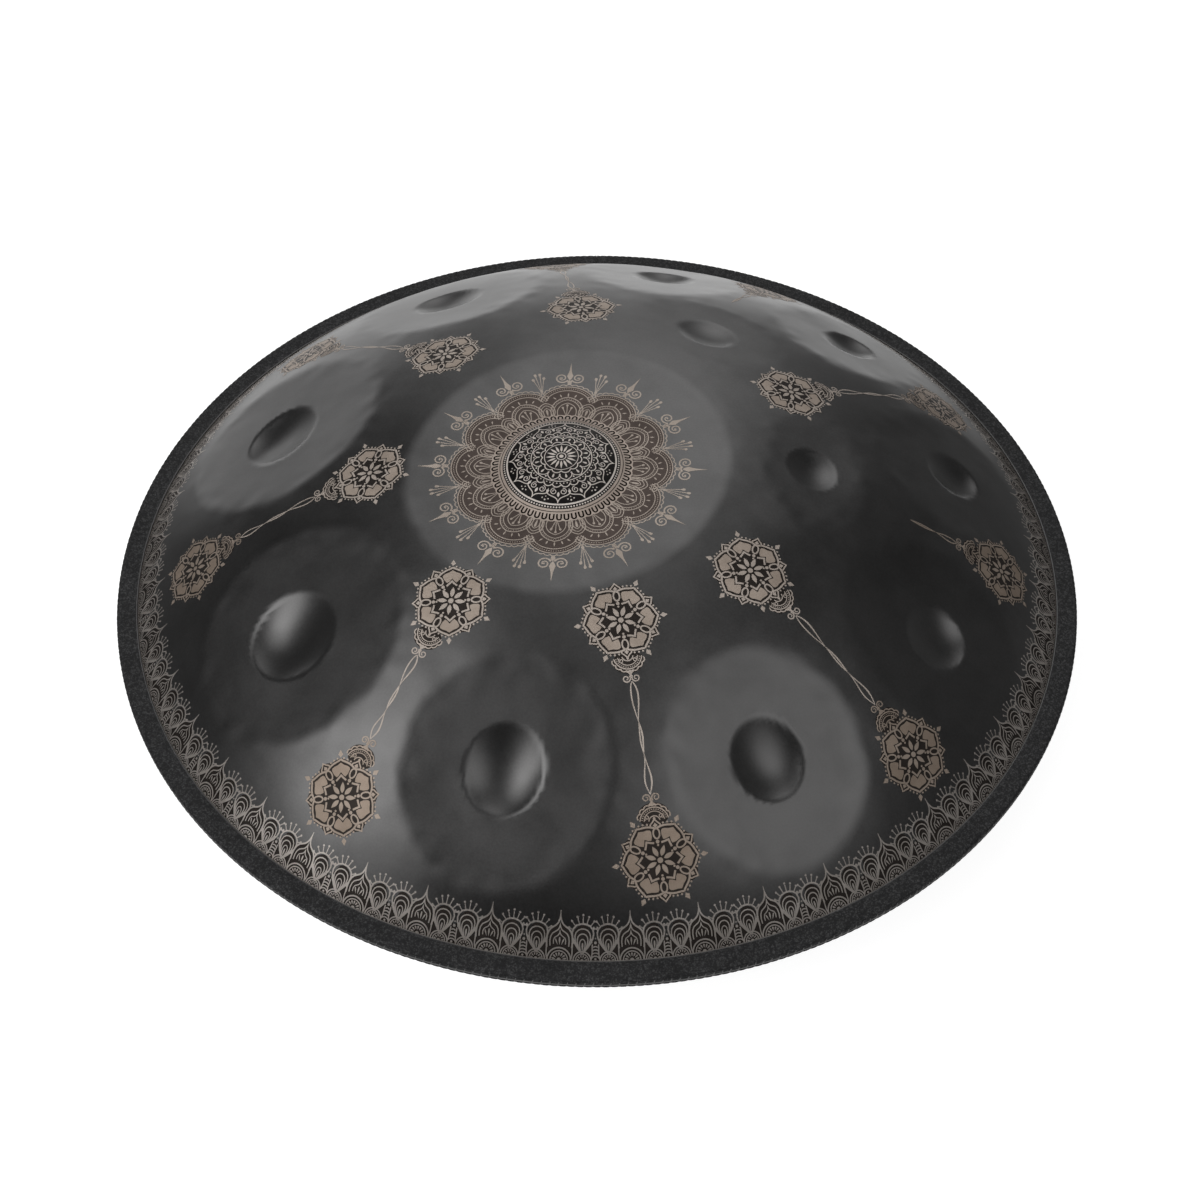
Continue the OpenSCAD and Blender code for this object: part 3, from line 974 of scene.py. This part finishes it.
def sheet(name, mat, inner, outer, nr, ns, lift, turn=0.0):
    """Thin closed sheet round the ding centre between two radii, each a function of the angle in degrees."""
    a = np.arange(ns) * 360.0 / ns
    t = np.linspace(0, 1, nr)[:, None]
    ri, ro = np.array([inner(q) for q in a]), np.array([outer(q) for q in a])
    r = ri[None, :] * (1 - t) + ro[None, :] * t
    q = np.radians(a + turn)
    top = np.stack([DING[0] + r * np.cos(q), DING[1] + r * np.sin(q)], -1).reshape(-1, 2)
    n = len(top)
    pts = np.concatenate([top, top])
    h = np.concatenate([np.full(n, lift), np.full(n, -0.35)])
    j = np.arange(ns)
    k = (j + 1) % ns
    lb = (nr - 1) * ns
    f = np.concatenate([
        ring_faces(nr, ns)[:, ::-1],
        ring_faces(nr, ns, n),
        np.stack([lb + j, lb + n + j, lb + n + k, lb + k], -1),
        np.stack([j, k, n + k, n + j], -1),
    ])
    z = surface(pts[:, 0], pts[:, 1])
    nn = normal(pts[:, 0], pts[:, 1])
    ob = make_mesh(name, np.stack([pts[:, 0], pts[:, 1], z], -1) + nn * h[:, None], f, mat, nn)
    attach(ob, "root")
    return ob


def lobe_edge(deg):
    """Outer edge of the ground: twelve round lobes."""
    p = math.radians((deg + 15.0) % 30.0 - 15.0)
    s, c = math.sin(p), math.cos(p)
    A, B, Y = 15.9**2, 14.0**2, 47.8
    qa, qb, qc = s * s / A + c * c / B, -2 * Y * c / B, Y * Y / B - 1
    return (-qb + math.sqrt(max(qb * qb - 4 * qa * qc, 0.0))) / (2 * qa)


def build_collar():
    """Dark U-shaped teeth all round the pale collar."""
    e = Etch("collar_teeth", M_TEETH, 0.09)
    for k in range(57):
        mp = polar_map((k + 0.5) * 360 / 57)
        e.line(join([(1.12, 35.0), (1.15, 36.4)], arc(0, 37.2, 1.12, 0, 180, 8), [(-1.15, 36.4), (-1.12, 35.0)]), 0.92, mp)
    e.line(ring(33.9, 240), 0.4, polar_map(90.0), closed=True)
    return e.build()


def build_ding():
    d = Etch("centre_disc", M_DARK, 0.03)
    # the darkened disc is a fine polar sheet, because the note is strongly domed
    nr, ns = 22, 150
    rr = np.concatenate([np.linspace(0.8, 32.6, nr)])
    a = np.arange(ns) * 2 * pi / ns
    top = np.stack([DING[0] + rr[:, None] * np.cos(a), DING[1] + rr[:, None] * np.sin(a)], -1).reshape(-1, 2)
    cen = np.array([[DING[0], DING[1]]])
    n_top = len(top)
    under = top.copy()
    pts = np.concatenate([top, under, cen, cen])
    h = np.concatenate([np.full(n_top, 0.03), np.full(n_top, -0.35), [0.03, -0.35]])
    f_top = ring_faces(nr, ns)[:, ::-1]
    f_und = ring_faces(nr, ns, n_top)
    j = np.arange(ns)
    lb = (nr - 1) * ns
    side = np.stack([lb + j, lb + n_top + j, lb + n_top + (j + 1) % ns, lb + (j + 1) % ns], -1)
    ct = np.stack([np.full(ns, 2 * n_top), j, (j + 1) % ns], -1)
    cu = np.stack([np.full(ns, 2 * n_top + 1), n_top + (j + 1) % ns, n_top + j], -1)
    z = surface(pts[:, 0], pts[:, 1])
    nn = normal(pts[:, 0], pts[:, 1])
    v = np.stack([pts[:, 0], pts[:, 1], z], -1) + nn * h[:, None]
    ob = make_mesh("centre_disc", v, [np.concatenate([f_top, f_und, side]), np.concatenate([ct, cu])], M_DARK, nn)
    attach(ob, "root")

    e = Etch("centre_note_etching", M_BRIGHT, 0.085)
    flat = polar_map(90.0)
    e.line(ring(30.0, 180), 0.9, flat, closed=True)
    e.beads(np.concatenate([ring(31.5, 180), ring(31.5, 180)[:1]]), 1.6, 0.5, flat, 6)
    for k in range(12):
        mp = polar_map(TURN + 30 * k)
        # pointed frame with two scrolls inside
        half = join(bez((6.4, 21.6), (6.9, 24.6), (3.6, 25.0), (1.6, 26.2), 8), bez((1.6, 26.2), (0.7, 26.8), (0.3, 27.6), (0, 28.7), 5))
        e.line(join(half, mir(half)), 0.52, mp)
        for sgn in (1, -1):
            sp = spiral(2.55, 22.6, 2.0, 0.5, -100, 1.35, 16)
            if sgn < 0:
                sp = mir(sp)[::-1]
            e.line(sp, 0.42, mp)
        e.fill(leaf(3.0, 0.75, 4) + np.array([0, 22.9]), mp)
        mp2 = polar_map(TURN + 15 + 30 * k)
        e.dot(0, 28.0, 0.5, mp2)
        e.dot(-1.7, 27.2, 0.4, mp2)
        e.dot(1.7, 27.2, 0.4, mp2)
        e.dot(0, 26.1, 0.36, mp2)
        e.fill(drop(3.4, 0.8, 8) + np.array([0, 21.2]), mp2)
    e.line(scallops(0, 0, 18.7, 0, 360 - 0.01, 24, 1.5, 6), 0.55, flat)
    e.beads(np.concatenate([ring(17.9, 90), ring(17.9, 90)[:1]]), 1.9, 0.42, flat, 5)
    e.line(ring(16.7, 100), 0.5, flat, closed=True)
    for k in range(12):
        mp = polar_map(TURN + 15 + 30 * k)
        up = bez((2.9, 11.7), (4.1, 13.6), (2.4, 15.2), (0, 16.2), 8)
        e.line(join(up, mir(up)), 0.48, mp)
        e.fill(drop(2.8, 0.85, 8) + np.array([0, 12.0]), mp)
        mp2 = polar_map(TURN + 30 * k)
        e.dot(0, 15.2, 0.5, mp2)
    e.line(scallops(0, 0, 10.2, 0, 360 - 0.01, 12, 1.3, 6), 0.55, flat)
    e.line(ring(9.3, 72), 0.4, flat, closed=True)
    for k in range(16):
        mp = polar_map(k * 22.5)
        e.fill(leaf(5.4, 0.62, 5, 0.8) + np.array([0, 3.2]), mp)
    e.line(ring(2.5, 24), 0.5, flat, closed=True)
    e.dot(0, 0, 1.2, flat, 12)
    return e.build()


# ---- six-pointed medallions with a pendant and a twisted ribbon
def patch_map(px, py, ang, k=1.0):
    """Local y points along ang degrees measured in the tangent plane (0 = along the rim, 90 = down the slope)."""
    pt = Patch(px, py)
    a = math.radians(ang)
    c, s = math.cos(a), math.sin(a)

    def mp(p):
        x, y = p[..., 0] * k, p[..., 1] * k
        u = x * s + y * c
        w = -x * c + y * s
        return np.stack(pt.plan(u, w), -1)

    return mp, pt


def patch_sheet(store, mp, cx, cy, radius, nr=9, ns=72, lift=0.04):
    """Thin closed sheet on the shell round a local centre, with a star-shaped outline radius(degrees)."""
    a = np.arange(ns) * 360.0 / ns
    ro = np.array([radius(q) for q in a])
    t = np.linspace(0.04, 1, nr)[:, None]
    loc = np.stack([cx + t * ro * np.cos(np.radians(a)), cy + t * ro * np.sin(np.radians(a))], -1).reshape(-1, 2)
    top = mp(np.concatenate([loc, [[cx, cy]]]))
    n = len(top)
    b = sum(len(p) for p, _, _, _ in store)
    o = top[-1 - ns : -1]
    ccw = np.sum(o[:, 0] * np.roll(o[:, 1], -1) - np.roll(o[:, 0], -1) * o[:, 1]) > 0
    j = np.arange(ns)
    k = (j + 1) % ns
    lb = (nr - 1) * ns
    q = np.concatenate([ring_faces(nr, ns)[:, ::-1], ring_faces(nr, ns, n), np.stack([lb + j, lb + n + j, lb + n + k, lb + k], -1)])
    tr = np.concatenate([np.stack([np.full(ns, n - 1), j, k], -1), np.stack([np.full(ns, 2 * n - 1), n + k, n + j], -1)])
    if not ccw:
        q, tr = q[:, ::-1], tr[:, ::-1]
    store.append((np.concatenate([top, top]), np.concatenate([np.full(n, lift), np.full(n, -0.35)]), q + b, tr + b))


def build_sheets(name, store, mat):
    pts = np.concatenate([p for p, _, _, _ in store])
    h = np.concatenate([p for _, p, _, _ in store])
    nn = normal(pts[:, 0], pts[:, 1])
    z = surface(pts[:, 0], pts[:, 1])
    v = np.stack([pts[:, 0], pts[:, 1], z], -1) + nn * h[:, None]
    ob = make_mesh(name, v, [np.concatenate([q for _, _, q, _ in store]), np.concatenate([t for _, _, _, t in store])], mat, nn)
    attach(ob, "root")
    return ob


def ground_edge(deg):
    """Outline of the dark ground: twelve shallow points."""
    p = math.radians(deg)
    return 20.3 + 1.5 * abs(math.cos(6 * p)) ** 1.5


def medallion(e, mp, tan, dark):
    patch_sheet(dark, mp, 0.0, 0.0, ground_edge)
    patch_sheet(dark, mp, 0.0, 25.0, lambda q: 1.0 / math.sqrt((math.cos(math.radians(q)) / 8.6) ** 2 + (math.sin(math.radians(q)) / 6.6) ** 2), 5, 36, 0.045)
    # flower of eight leaves round a boss
    e.dot(0, 0, 1.6, mp, 10)
    for k in range(8):
        e.fill(xf(leaf(6.3, 1.3, 6, 0.85) + np.array([0, 2.3]), 45 * k + 22.5), mp)
    for k in range(6):
        tip, val = 60 * k + 30, 60 * k
        # filled shield on each point, notched at its foot
        s = np.array([(0, 14.0), (1.5, 12.1), (2.7, 11.3), (4.3, 12.8), (5.6, 15.2), (5.4, 16.3), (4.3, 17.1), (2.0, 18.0), (0, 19.3)])
        tan.fill(xf(np.concatenate([s, mir(s)[1:-1]]), tip), mp, centre=xf([0, 15.9], tip))
        # chevron below it
        e.line(xf([(-3.1, 9.3), (-1.6, 10.6), (0, 12.2), (1.6, 10.6), (3.1, 9.3)], tip), 1.1, mp)
        # two dots and a loop up each valley
        e.dot(*xf([0, 10.2], val), 1.05, mp, 8)
        e.dot(*xf([0, 8.3], val), 0.65, mp)
        e.line(xf(arc(0, 14.7, 1.75, 0, 330, 12, 2.9), val), 0.9, mp, closed=True)
        # pale outline between neighbouring points, dipping into the valley
        side = bez((0, 21.4), (1.2, 19.6), (5.8, 19.8), (8.6, 14.9), 12)
        e.line(xf(side, tip), 1.1, mp)
        e.line(xf(mir(side), tip), 1.1, mp)
        # dots outside the outline
        for q in ((2.0, 21.7), (4.2, 20.8), (6.2, 19.5)):
            e.dot(*xf(q, tip), 0.6, mp, 7)
            e.dot(*xf((-q[0], q[1]), tip), 0.6, mp, 7)
        # kite on the point and a small pointed hood over the valley
        e.fill(xf([(0, 22.2), (1.5, 24.0), (0, 26.6), (-1.5, 24.0)], tip), mp)
        e.line(xf([(-2.8, 18.0), (-2.7, 19.6), (-1.3, 20.9), (0, 22.4), (1.3, 20.9), (2.7, 19.6), (2.8, 18.0)], val), 0.8, mp)
        e.fill(xf([(0, 17.9), (1.3, 19.0), (0, 20.6), (-1.3, 19.0)], val), mp)


def pendant(e, mp):
    y = 21.2
    for r, w in ((3.1, 0.6), (7.9, 0.7)):
        e.line(arc(0, y, r, 8, 172, 13), w, mp)
    for sgn in (1, -1):
        sp = spiral(3.9, y + 2.6, 1.5, 0.45, -60, 1.25, 13)
        e.line(sp if sgn > 0 else mir(sp)[::-1], 0.5, mp)
    e.fill(leaf(2.2, 0.8, 4) + np.array([0, y + 0.5]), mp)
    e.line(arc(0, y, 5.7, 6, 174, 15), 0.5, mp)
    e.beads(arc(0, y, 6.8, 8, 172, 24), 1.2, 0.38, mp, 5)
    e.line(scallops(0, y, 8.9, 12, 168, 7, 0.8, 5), 0.7, mp)
    e.fill([(2.6, y + 9.1), (0.9, y + 10.4), (0, y + 12.6), (-0.9, y + 10.4), (-2.6, y + 9.1), (0, y + 8.5)], mp)
    for sgn in (1, -1):
        sp = spiral(2.7, y + 13.2, 2.45, 0.6, 180 + 40, -1.4, 18)
        e.line(sp if sgn > 0 else mir(sp)[::-1], np.linspace(0.8, 0.55, 18), mp)


RIBBON_Y = 36.2  # where the ribbon leaves the pendant, mm from the medallion centre


def ribbon(e, p0, p1, cut=1.0):
    """Twisted ribbon in plan from p0 to p1: three open twists; cut < 1 keeps the first part and ends in a point."""
    p0, p1 = np.asarray(p0, float), np.asarray(p1, float)
    d = p1 - p0
    ln = np.hypot(*d)
    d, nrm = d / ln, np.array([-d[1], d[0]]) / ln

    def mp(p):
        return p0 + p[..., 1:2] * d + p[..., 0:1] * nrm

    spans = [(0.0, 0.37, 1.95), (0.37, 0.66, 0.75), (0.66, 1.0, 1.95)] if cut >= 1 else [(0.0, 0.45, 1.7), (0.45, 1.0, 0.65)]
    for s0, s1, w in spans:
        t = np.linspace(0, 1, 15)
        pk = 0.36 if s0 == 0 else (0.64 if s1 == 1.0 and cut >= 1 else 0.5)
        ex = math.log(0.5) / math.log(pk)
        b = np.sin(pi * t**ex) ** 1.15
        for sg in (1, -1):
            x = sg * w * b * (1.0 if sg > 0 else 0.82) + 0.12 * np.sin(2 * pi * t)
            lw = 0.42 + 0.5 * b * (0.9 if sg > 0 else 0.6)
            e.line(np.stack([x, (s0 + (s1 - s0) * t) * ln], -1), lw, mp)


def link_angle(pt, other):
    z = float(dome(math.hypot(*other)))
    u, w = pt.uw(other[0], other[1], z)
    return math.degrees(math.atan2(w, u))


# inner and outer medallion centres of each linked pair, and the outer ones that stand alone
PAIRS = [
    ((12.4, -119.0), (32.1, -230.1)),
    ((81.6, -85.1), (167.5, -162.8)),
    ((111.8, 53.6), (209.4, 97.0)),
    ((-9.5, 128.5), (-27.0, 230.0)),
    ((-88.9, 85.6), (-180.0, 146.0)),
    ((-126.4, -9.9), (-228.3, -33.0)),
    ((-77.2, -103.1), (-133.0, -190.8)),
]
SINGLES = [(230.0, -34.2), (109.0, 205.0)]
MED_K = 0.94


def build_medallions():
    pale = Etch("medallions_inner", M_PALE)
    # the outer medallions and their shields take the darker copies of the etch, which paint in the shade of their
    # weaker sheen
    shaded_outer = Etch("medallions_outer", M_ETCH_OUTER_PAINTED_SHADE)
    tan_i = Etch("medallion_shields_inner", M_TAN)
    tan_shaded = Etch("medallion_shields_outer", M_TAN_PAINTED_SHADE)
    dark = []
    for pi_, po in PAIRS:
        a = link_angle(Patch(*pi_), po)
        mi, pt = patch_map(pi_[0], pi_[1], a, MED_K)
        b = link_angle(Patch(*po), pi_)
        mo, qt = patch_map(po[0], po[1], b, MED_K)
        medallion(pale, mi, tan_i, dark)
        pendant(pale, mi)
        medallion(shaded_outer, mo, tan_shaded, dark)
        pendant(shaded_outer, mo)
        ribbon(pale, mi(np.array([0.0, RIBBON_Y])), mo(np.array([0.0, RIBBON_Y])))
    for po in SINGLES:
        az = math.atan2(po[1], po[0])
        mo, qt = patch_map(po[0], po[1], -90.0, MED_K)
        medallion(shaded_outer, mo, tan_shaded, dark)
        pendant(shaded_outer, mo)
        ribbon(shaded_outer, mo(np.array([0.0, RIBBON_Y])), mo(np.array([0.0, RIBBON_Y + 34.0])), 0.6)
    pale.build()
    shaded_outer.build()
    tan_i.build()
    tan_shaded.build()
    build_sheets("medallion_ground", dark, M_UNDER)


# ---- lace border inside the rim band
_rs = np.linspace(268.9, 235.0, 400)
_zs = dome(_rs)
_ss = np.concatenate([[0], np.cumsum(np.hypot(np.diff(_rs), np.diff(_zs)))])


def lace_map(az):
    a0 = math.radians(az)

    def mp(p):
        r = np.interp(p[..., 1] * 1.08, _ss, _rs)
        a = a0 + p[..., 0] / 260.0
        return np.stack([r * np.cos(a), r * np.sin(a)], -1)

    return mp


def fan(e, cx, r, mp, spokes, lw):
    e.line(arc(cx, 0.5, r, 0, 180, 13), lw, mp)
    e.line(arc(cx, 0.5, r * 0.74, 0, 180, 11), lw * 0.75, mp)
    for a in np.linspace(12, 168, spokes):
        c, s = math.cos(math.radians(a)), math.sin(math.radians(a))
        e.fill(xf(drop(r * 0.36, r * 0.1 + 0.06, 6), a - 90, cx + r * 0.28 * c, 0.5 + r * 0.28 * s), mp)
    e.fill(arc(cx, 0.5, r * 0.18, 0, 180, 6), mp)


def lace_unit(e, mp):
    # middle arch over a large fan
    e.line(ogee(6.3, 6.3, 16.4, 22.0, 6), 0.8, mp)
    e.line([(0, 21.4), (0, 23.0), (0, 24.4)], [0.75, 0.5, 0.3], mp)
    e.line(ogee(4.7, 7.0, 14.0, 17.6, 5), 0.6, mp)
    e.line(ogee(3.0, 8.0, 11.8, 14.4, 4), 0.5, mp)
    e.fill(drop(4.0, 0.62, 7) + np.array([0, 7.6]), mp)
    for s in (-1, 1):
        e.fill(xf(drop(3.4, 0.5, 7), -s * 22, s * 0.9, 7.6), mp)
    fan(e, 0.0, 5.9, mp, 7, 0.75)
    for s in (-1, 1):
        # tall drop lobe over its own fan, nested four times, with stamens on its crown
        for l, w, lw in ((14.6, 7.3, 0.8), (12.2, 5.3, 0.6), (9.8, 3.6, 0.6), (7.2, 1.9, 0.5)):
            d = xf(drop(l, w, 19, 1.1), -s * 2, s * 11.4, 3.6)
            e.line(d, lw, mp, closed=True)
        e.fill(xf(drop(4.6, 0.7, 7), -s * 2, s * 11.5, 4.6), mp)
        for a, l in ((-62, 2.2), (-40, 3.0), (-19, 3.5), (0, 3.9), (19, 3.5), (40, 3.0), (62, 2.2)):
            c, q = math.cos(math.radians(a)), math.sin(math.radians(a))
            cx, cy = s * 11.8, 12.5
            e.line([(cx + 6.0 * q, cy + 6.0 * c), (cx + (6.0 + l * 0.8) * q, cy + (6.0 + l * 0.8) * c)], 0.5, mp)
            e.dot(cx + (6.0 + l) * q, cy + (6.0 + l) * c, 0.62, mp, 6)
        fan(e, s * 11.5, 4.4, mp, 6, 0.65)
        # sprigs between the arch and the lobe, and outside the lobe
        e.line(bez((s * 6.0, 1.0), (s * 6.9, 3.4), (s * 6.2, 5.6), (s * 6.6, 7.6), 6), 0.6, mp)
        e.fill(xf(drop(3.0, 0.7, 7), -s * 18, s * 6.6, 7.8), mp)
        e.line(bez((s * 15.9, 1.0), (s * 16.9, 3.6), (s * 16.3, 6.0), (s * 16.6, 8.4), 6), 0.6, mp)
        e.fill(xf(drop(2.8, 0.65, 7), s * 10, s * 16.5, 8.6), mp)
    # low stack between units
    x = 18.15
    e.line(arc(x, 0.5, 2.3, 0, 180, 8), 0.6, mp)
    e.dot(x, 1.3, 0.6, mp, 6)
    for y, w in ((4.1, 3.2), (5.7, 2.8), (7.3, 2.2)):
        e.line(bez((x - w / 2, y - 0.35), (x - w / 4, y + 0.3), (x + w / 4, y + 0.3), (x + w / 2, y - 0.35), 5), 0.6, mp)
    e.dot(x, 9.2, 0.75, mp, 7)
    e.dot(x, 11.3, 0.45, mp, 6)


def lace_ground():
    """Dark ground under the lace, its upper edge following the arches and lobes."""
    ns, nr = 45 * 18, 8
    a = np.arange(ns) * 2 * pi / ns
    u = ((np.degrees(a) - 281.8 + 4.0) % 8.0 - 4.0) / 8.0 * 36.3
    knots = [(0, 18.5), (3.5, 16.5), (6.0, 12.5), (8.6, 16.6), (11.7, 17.9), (14.8, 16.4), (17.0, 11.0), (18.2, 8.0)]
    y1 = np.interp(np.abs(u), [k[0] for k in knots], [k[1] for k in knots])
    t = np.linspace(0, 1, nr)[:, None]
    r = np.interp((-0.2 + t * (y1[None, :] + 0.2)) * 1.08, _ss, _rs)
    pts = np.stack([r * np.cos(a), r * np.sin(a)], -1).reshape(-1, 2)
    n = len(pts)
    pts = np.concatenate([pts, pts])
    h = np.concatenate([np.full(n, 0.035), np.full(n, -0.35)])
    j = np.arange(ns)
    k = (j + 1) % ns
    lb = (nr - 1) * ns
    f = np.concatenate([
        ring_faces(nr, ns),
        ring_faces(nr, ns, n)[:, ::-1],
        np.stack([lb + k, lb + n + k, lb + n + j, lb + j], -1),
        np.stack([n + j, n + k, k, j], -1),
    ])
    nn = normal(pts[:, 0], pts[:, 1])
    z = surface(pts[:, 0], pts[:, 1])
    ob = make_mesh("lace_ground", np.stack([pts[:, 0], pts[:, 1], z], -1) + nn * h[:, None], f, M_UNDER, nn)
    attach(ob, "root")


def build_lace():
    first = 281.8
    for half, (k0, k1) in enumerate(((0, 23), (23, 45))):
        e = Etch("border_lace_%d" % (half + 1), M_LACE)
        for k in range(k0, k1):
            lace_unit(e, lace_map(first + 8 * k))
        # base line under the lace
        mp = lace_map(first + 8 * k0 - 4)
        span = (k1 - k0) * 8
        xs = np.linspace(0, math.radians(span) * 260.0, (k1 - k0) * 9 + 1)
        e.line(np.stack([xs, np.full(len(xs), 0.35)], -1), 0.4, mp)
        ob = e.build()


M_GROUND = etch_material("etched_ground", (0.098, 0.076, 0.067), (0.128, 0.100, 0.088), 0.45, 0.85)
sheet("mandala_ground", M_GROUND, lambda q: 39.1, lobe_edge, 10, 360, 0.035, TURN)
sheet("centre_collar", M_COLLAR, lambda q: 32.45, lambda q: 38.95 + 0.5 * abs(math.sin(math.radians(q * 28.5))), 9, 456, 0.05)
build_collar()
build_mandala()
build_ding()
build_medallions()
lace_ground()
build_lace()


# ---------------------------------------------------------------- stage, light and camera
def build_stage():
    me = bpy.data.meshes.new("floor")
    s = 3.2
    me.from_pydata([(-s, -s, -0.0005), (s, -s, -0.0005), (s, s, -0.0005), (-s, s, -0.0005)], [], [(0, 1, 2, 3)])
    ob = bpy.data.objects.new("floor", me)
    scene.collection.objects.link(ob)
    m, nt, b = mat_new("pale_floor")
    g = G(nt)
    n = g.noise(g.pos(), 3.0, 2.0, 0.5)
    g.set(b.inputs["Base Color"], g.mix(n, rgb(0.32, 0.32, 0.32), rgb(0.36, 0.36, 0.36)))
    b.inputs["Roughness"].default_value = 0.9
    b.inputs["Specular IOR Level"].default_value = 0.1
    b.inputs["Emission Color"].default_value = rgb(1, 1, 1)
    b.inputs["Emission Strength"].default_value = 0.86
    me.materials.append(m)
    ob.visible_glossy = False
    return ob


build_stage()


def lobe(g, d, az, el, h1, h2, soft, strength):
    """A soft-edged elliptical patch of light: direction, half sizes and edge softness, all in degrees or as a ratio."""
    az, el = math.radians(az), math.radians(el)
    c = Vector((math.cos(el) * math.cos(az), math.cos(el) * math.sin(az), math.sin(el)))
    e1 = Vector((-math.sin(az), math.cos(az), 0.0))
    e2 = c.cross(e1)
    a = g.math("DIVIDE", g.vmath("DOT_PRODUCT", d, tuple(e1)), math.sin(math.radians(h1)))
    b = g.math("DIVIDE", g.vmath("DOT_PRODUCT", d, tuple(e2)), math.sin(math.radians(h2)))
    q = g.math("SQRT", g.math("ADD", g.math("MULTIPLY", a, a), g.math("MULTIPLY", b, b)))
    f = g.ramp(q, 1.0 - soft, 1.0 + soft, strength, 0.0, True)
    front = g.ramp(g.vmath("DOT_PRODUCT", d, tuple(c)), 0.0, 0.15, 0.0, 1.0)
    return g.math("MULTIPLY", f, front)


# studio as the steel sees it: azimuth, elevation, half width, half height, softness, brightness
LOBES = [
    (-156, 40, 13.5, 18, 0.30, 1.86),  # softbox on the left
    (185, 55, 14.5, 14.5, 0.30, 1.02),  # its upper, weaker end
    (-42, 54, 16.5, 18, 0.52, 0.99),  # softbox on the right
    (86, 45, 16.5, 29, 0.98, 0.95),  # tall bounce card behind
    (94, -21, 30, 14.5, 0.30, 0.98),  # white sweep low behind
    (121, 0, 14.5, 10, 0.30, 0.71),
]


def build_world():
    w = bpy.data.worlds.new("studio")
    scene.world = w
    w.use_nodes = True
    nt = w.node_tree
    nt.nodes.clear()
    g = G(nt)
    out = nt.nodes.new("ShaderNodeOutputWorld")
    bg = nt.nodes.new("ShaderNodeBackground")
    cam_bg = nt.nodes.new("ShaderNodeBackground")
    cam_bg.inputs[0].default_value = rgb(0.985, 0.985, 0.985)
    d = g.vmath("NORMALIZE", g.node("ShaderNodeTexCoord").outputs["Generated"])
    # dim room, darkest overhead
    room = g.math("ADD", g.vmath("DOT_PRODUCT", d, (0.012, 0.03, -0.101)), 0.101)
    total = g.math("MAXIMUM", room, 0.004)
    for args in LOBES:
        total = g.math("ADD", total, lobe(g, d, *args))
    g.set(bg.inputs["Color"], g.comb(total, total, total))
    bg.inputs["Strength"].default_value = 1.0
    lp = g.node("ShaderNodeLightPath")
    mx = g.node("ShaderNodeMixShader")
    nt.links.new(lp.outputs["Is Camera Ray"], mx.inputs[0])
    nt.links.new(bg.outputs[0], mx.inputs[1])
    nt.links.new(cam_bg.outputs[0], mx.inputs[2])
    nt.links.new(mx.outputs[0], out.inputs[0])
    w.cycles.sampling_method = "MANUAL"
    w.cycles.sample_map_resolution = 1024


build_world()


def softbox(name, loc, size, watts, look=(0.0, 0.0, 0.12)):
    """Broad overhead light for the matt surfaces only, so the steel keeps the reflections above."""
    li = bpy.data.lights.new(name, "AREA")
    li.shape = "DISK"
    li.size = size
    li.energy = watts
    ob = bpy.data.objects.new(name, li)
    scene.collection.objects.link(ob)
    ob.location = loc
    ob.rotation_euler = (Vector(look) - Vector(loc)).to_track_quat("-Z", "Y").to_euler()
    ob.visible_glossy = False
    ob.visible_camera = False
    return ob


softbox("overhead_soft", (-0.4, -1.15, 1.65), 1.5, 31.0)
softbox("fill_soft", (-0.9, 1.1, 1.7), 1.4, 5.0)

cam_data = bpy.data.cameras.new("camera")
cam = bpy.data.objects.new("camera", cam_data)
scene.collection.objects.link(cam)
scene.camera = cam
D, EL, FPX, PAN, TILT, ROLL = 1260.0, 0.846880838, 2127.356, 0.0013744, -0.0145604, -0.00049994
C = np.array([0.0, -D * math.cos(EL), D * math.sin(EL)])
fw = -C / np.linalg.norm(C)
right = np.array([1.0, 0, 0])
up = np.cross(right, fw)
fw2 = fw * math.cos(TILT) * math.cos(PAN) + right * math.sin(PAN) + up * math.sin(TILT) * math.cos(PAN)
fw2 /= np.linalg.norm(fw2)
r2 = np.cross(fw2, up)
r2 /= np.linalg.norm(r2)
u2 = np.cross(r2, fw2)
r3 = math.cos(ROLL) * r2 + math.sin(ROLL) * u2
u3 = -math.sin(ROLL) * r2 + math.cos(ROLL) * u2
pos = put(C)
cam.matrix_world = Matrix(
    [
        (r3[0], u3[0], -fw2[0], pos[0]),
        (r3[1], u3[1], -fw2[1], pos[1]),
        (r3[2], u3[2], -fw2[2], pos[2]),
        (0, 0, 0, 1),
    ]
)
cam_data.sensor_width = 36.0
cam_data.sensor_fit = "HORIZONTAL"
cam_data.lens = 36.0 * FPX / 1200.0
cam_data.clip_start, cam_data.clip_end = 0.01, 50.0
scene.view_settings.view_transform = "Standard"
scene.view_settings.look = "None"
scene.view_settings.exposure = 0.0
scene.view_settings.gamma = 1.0
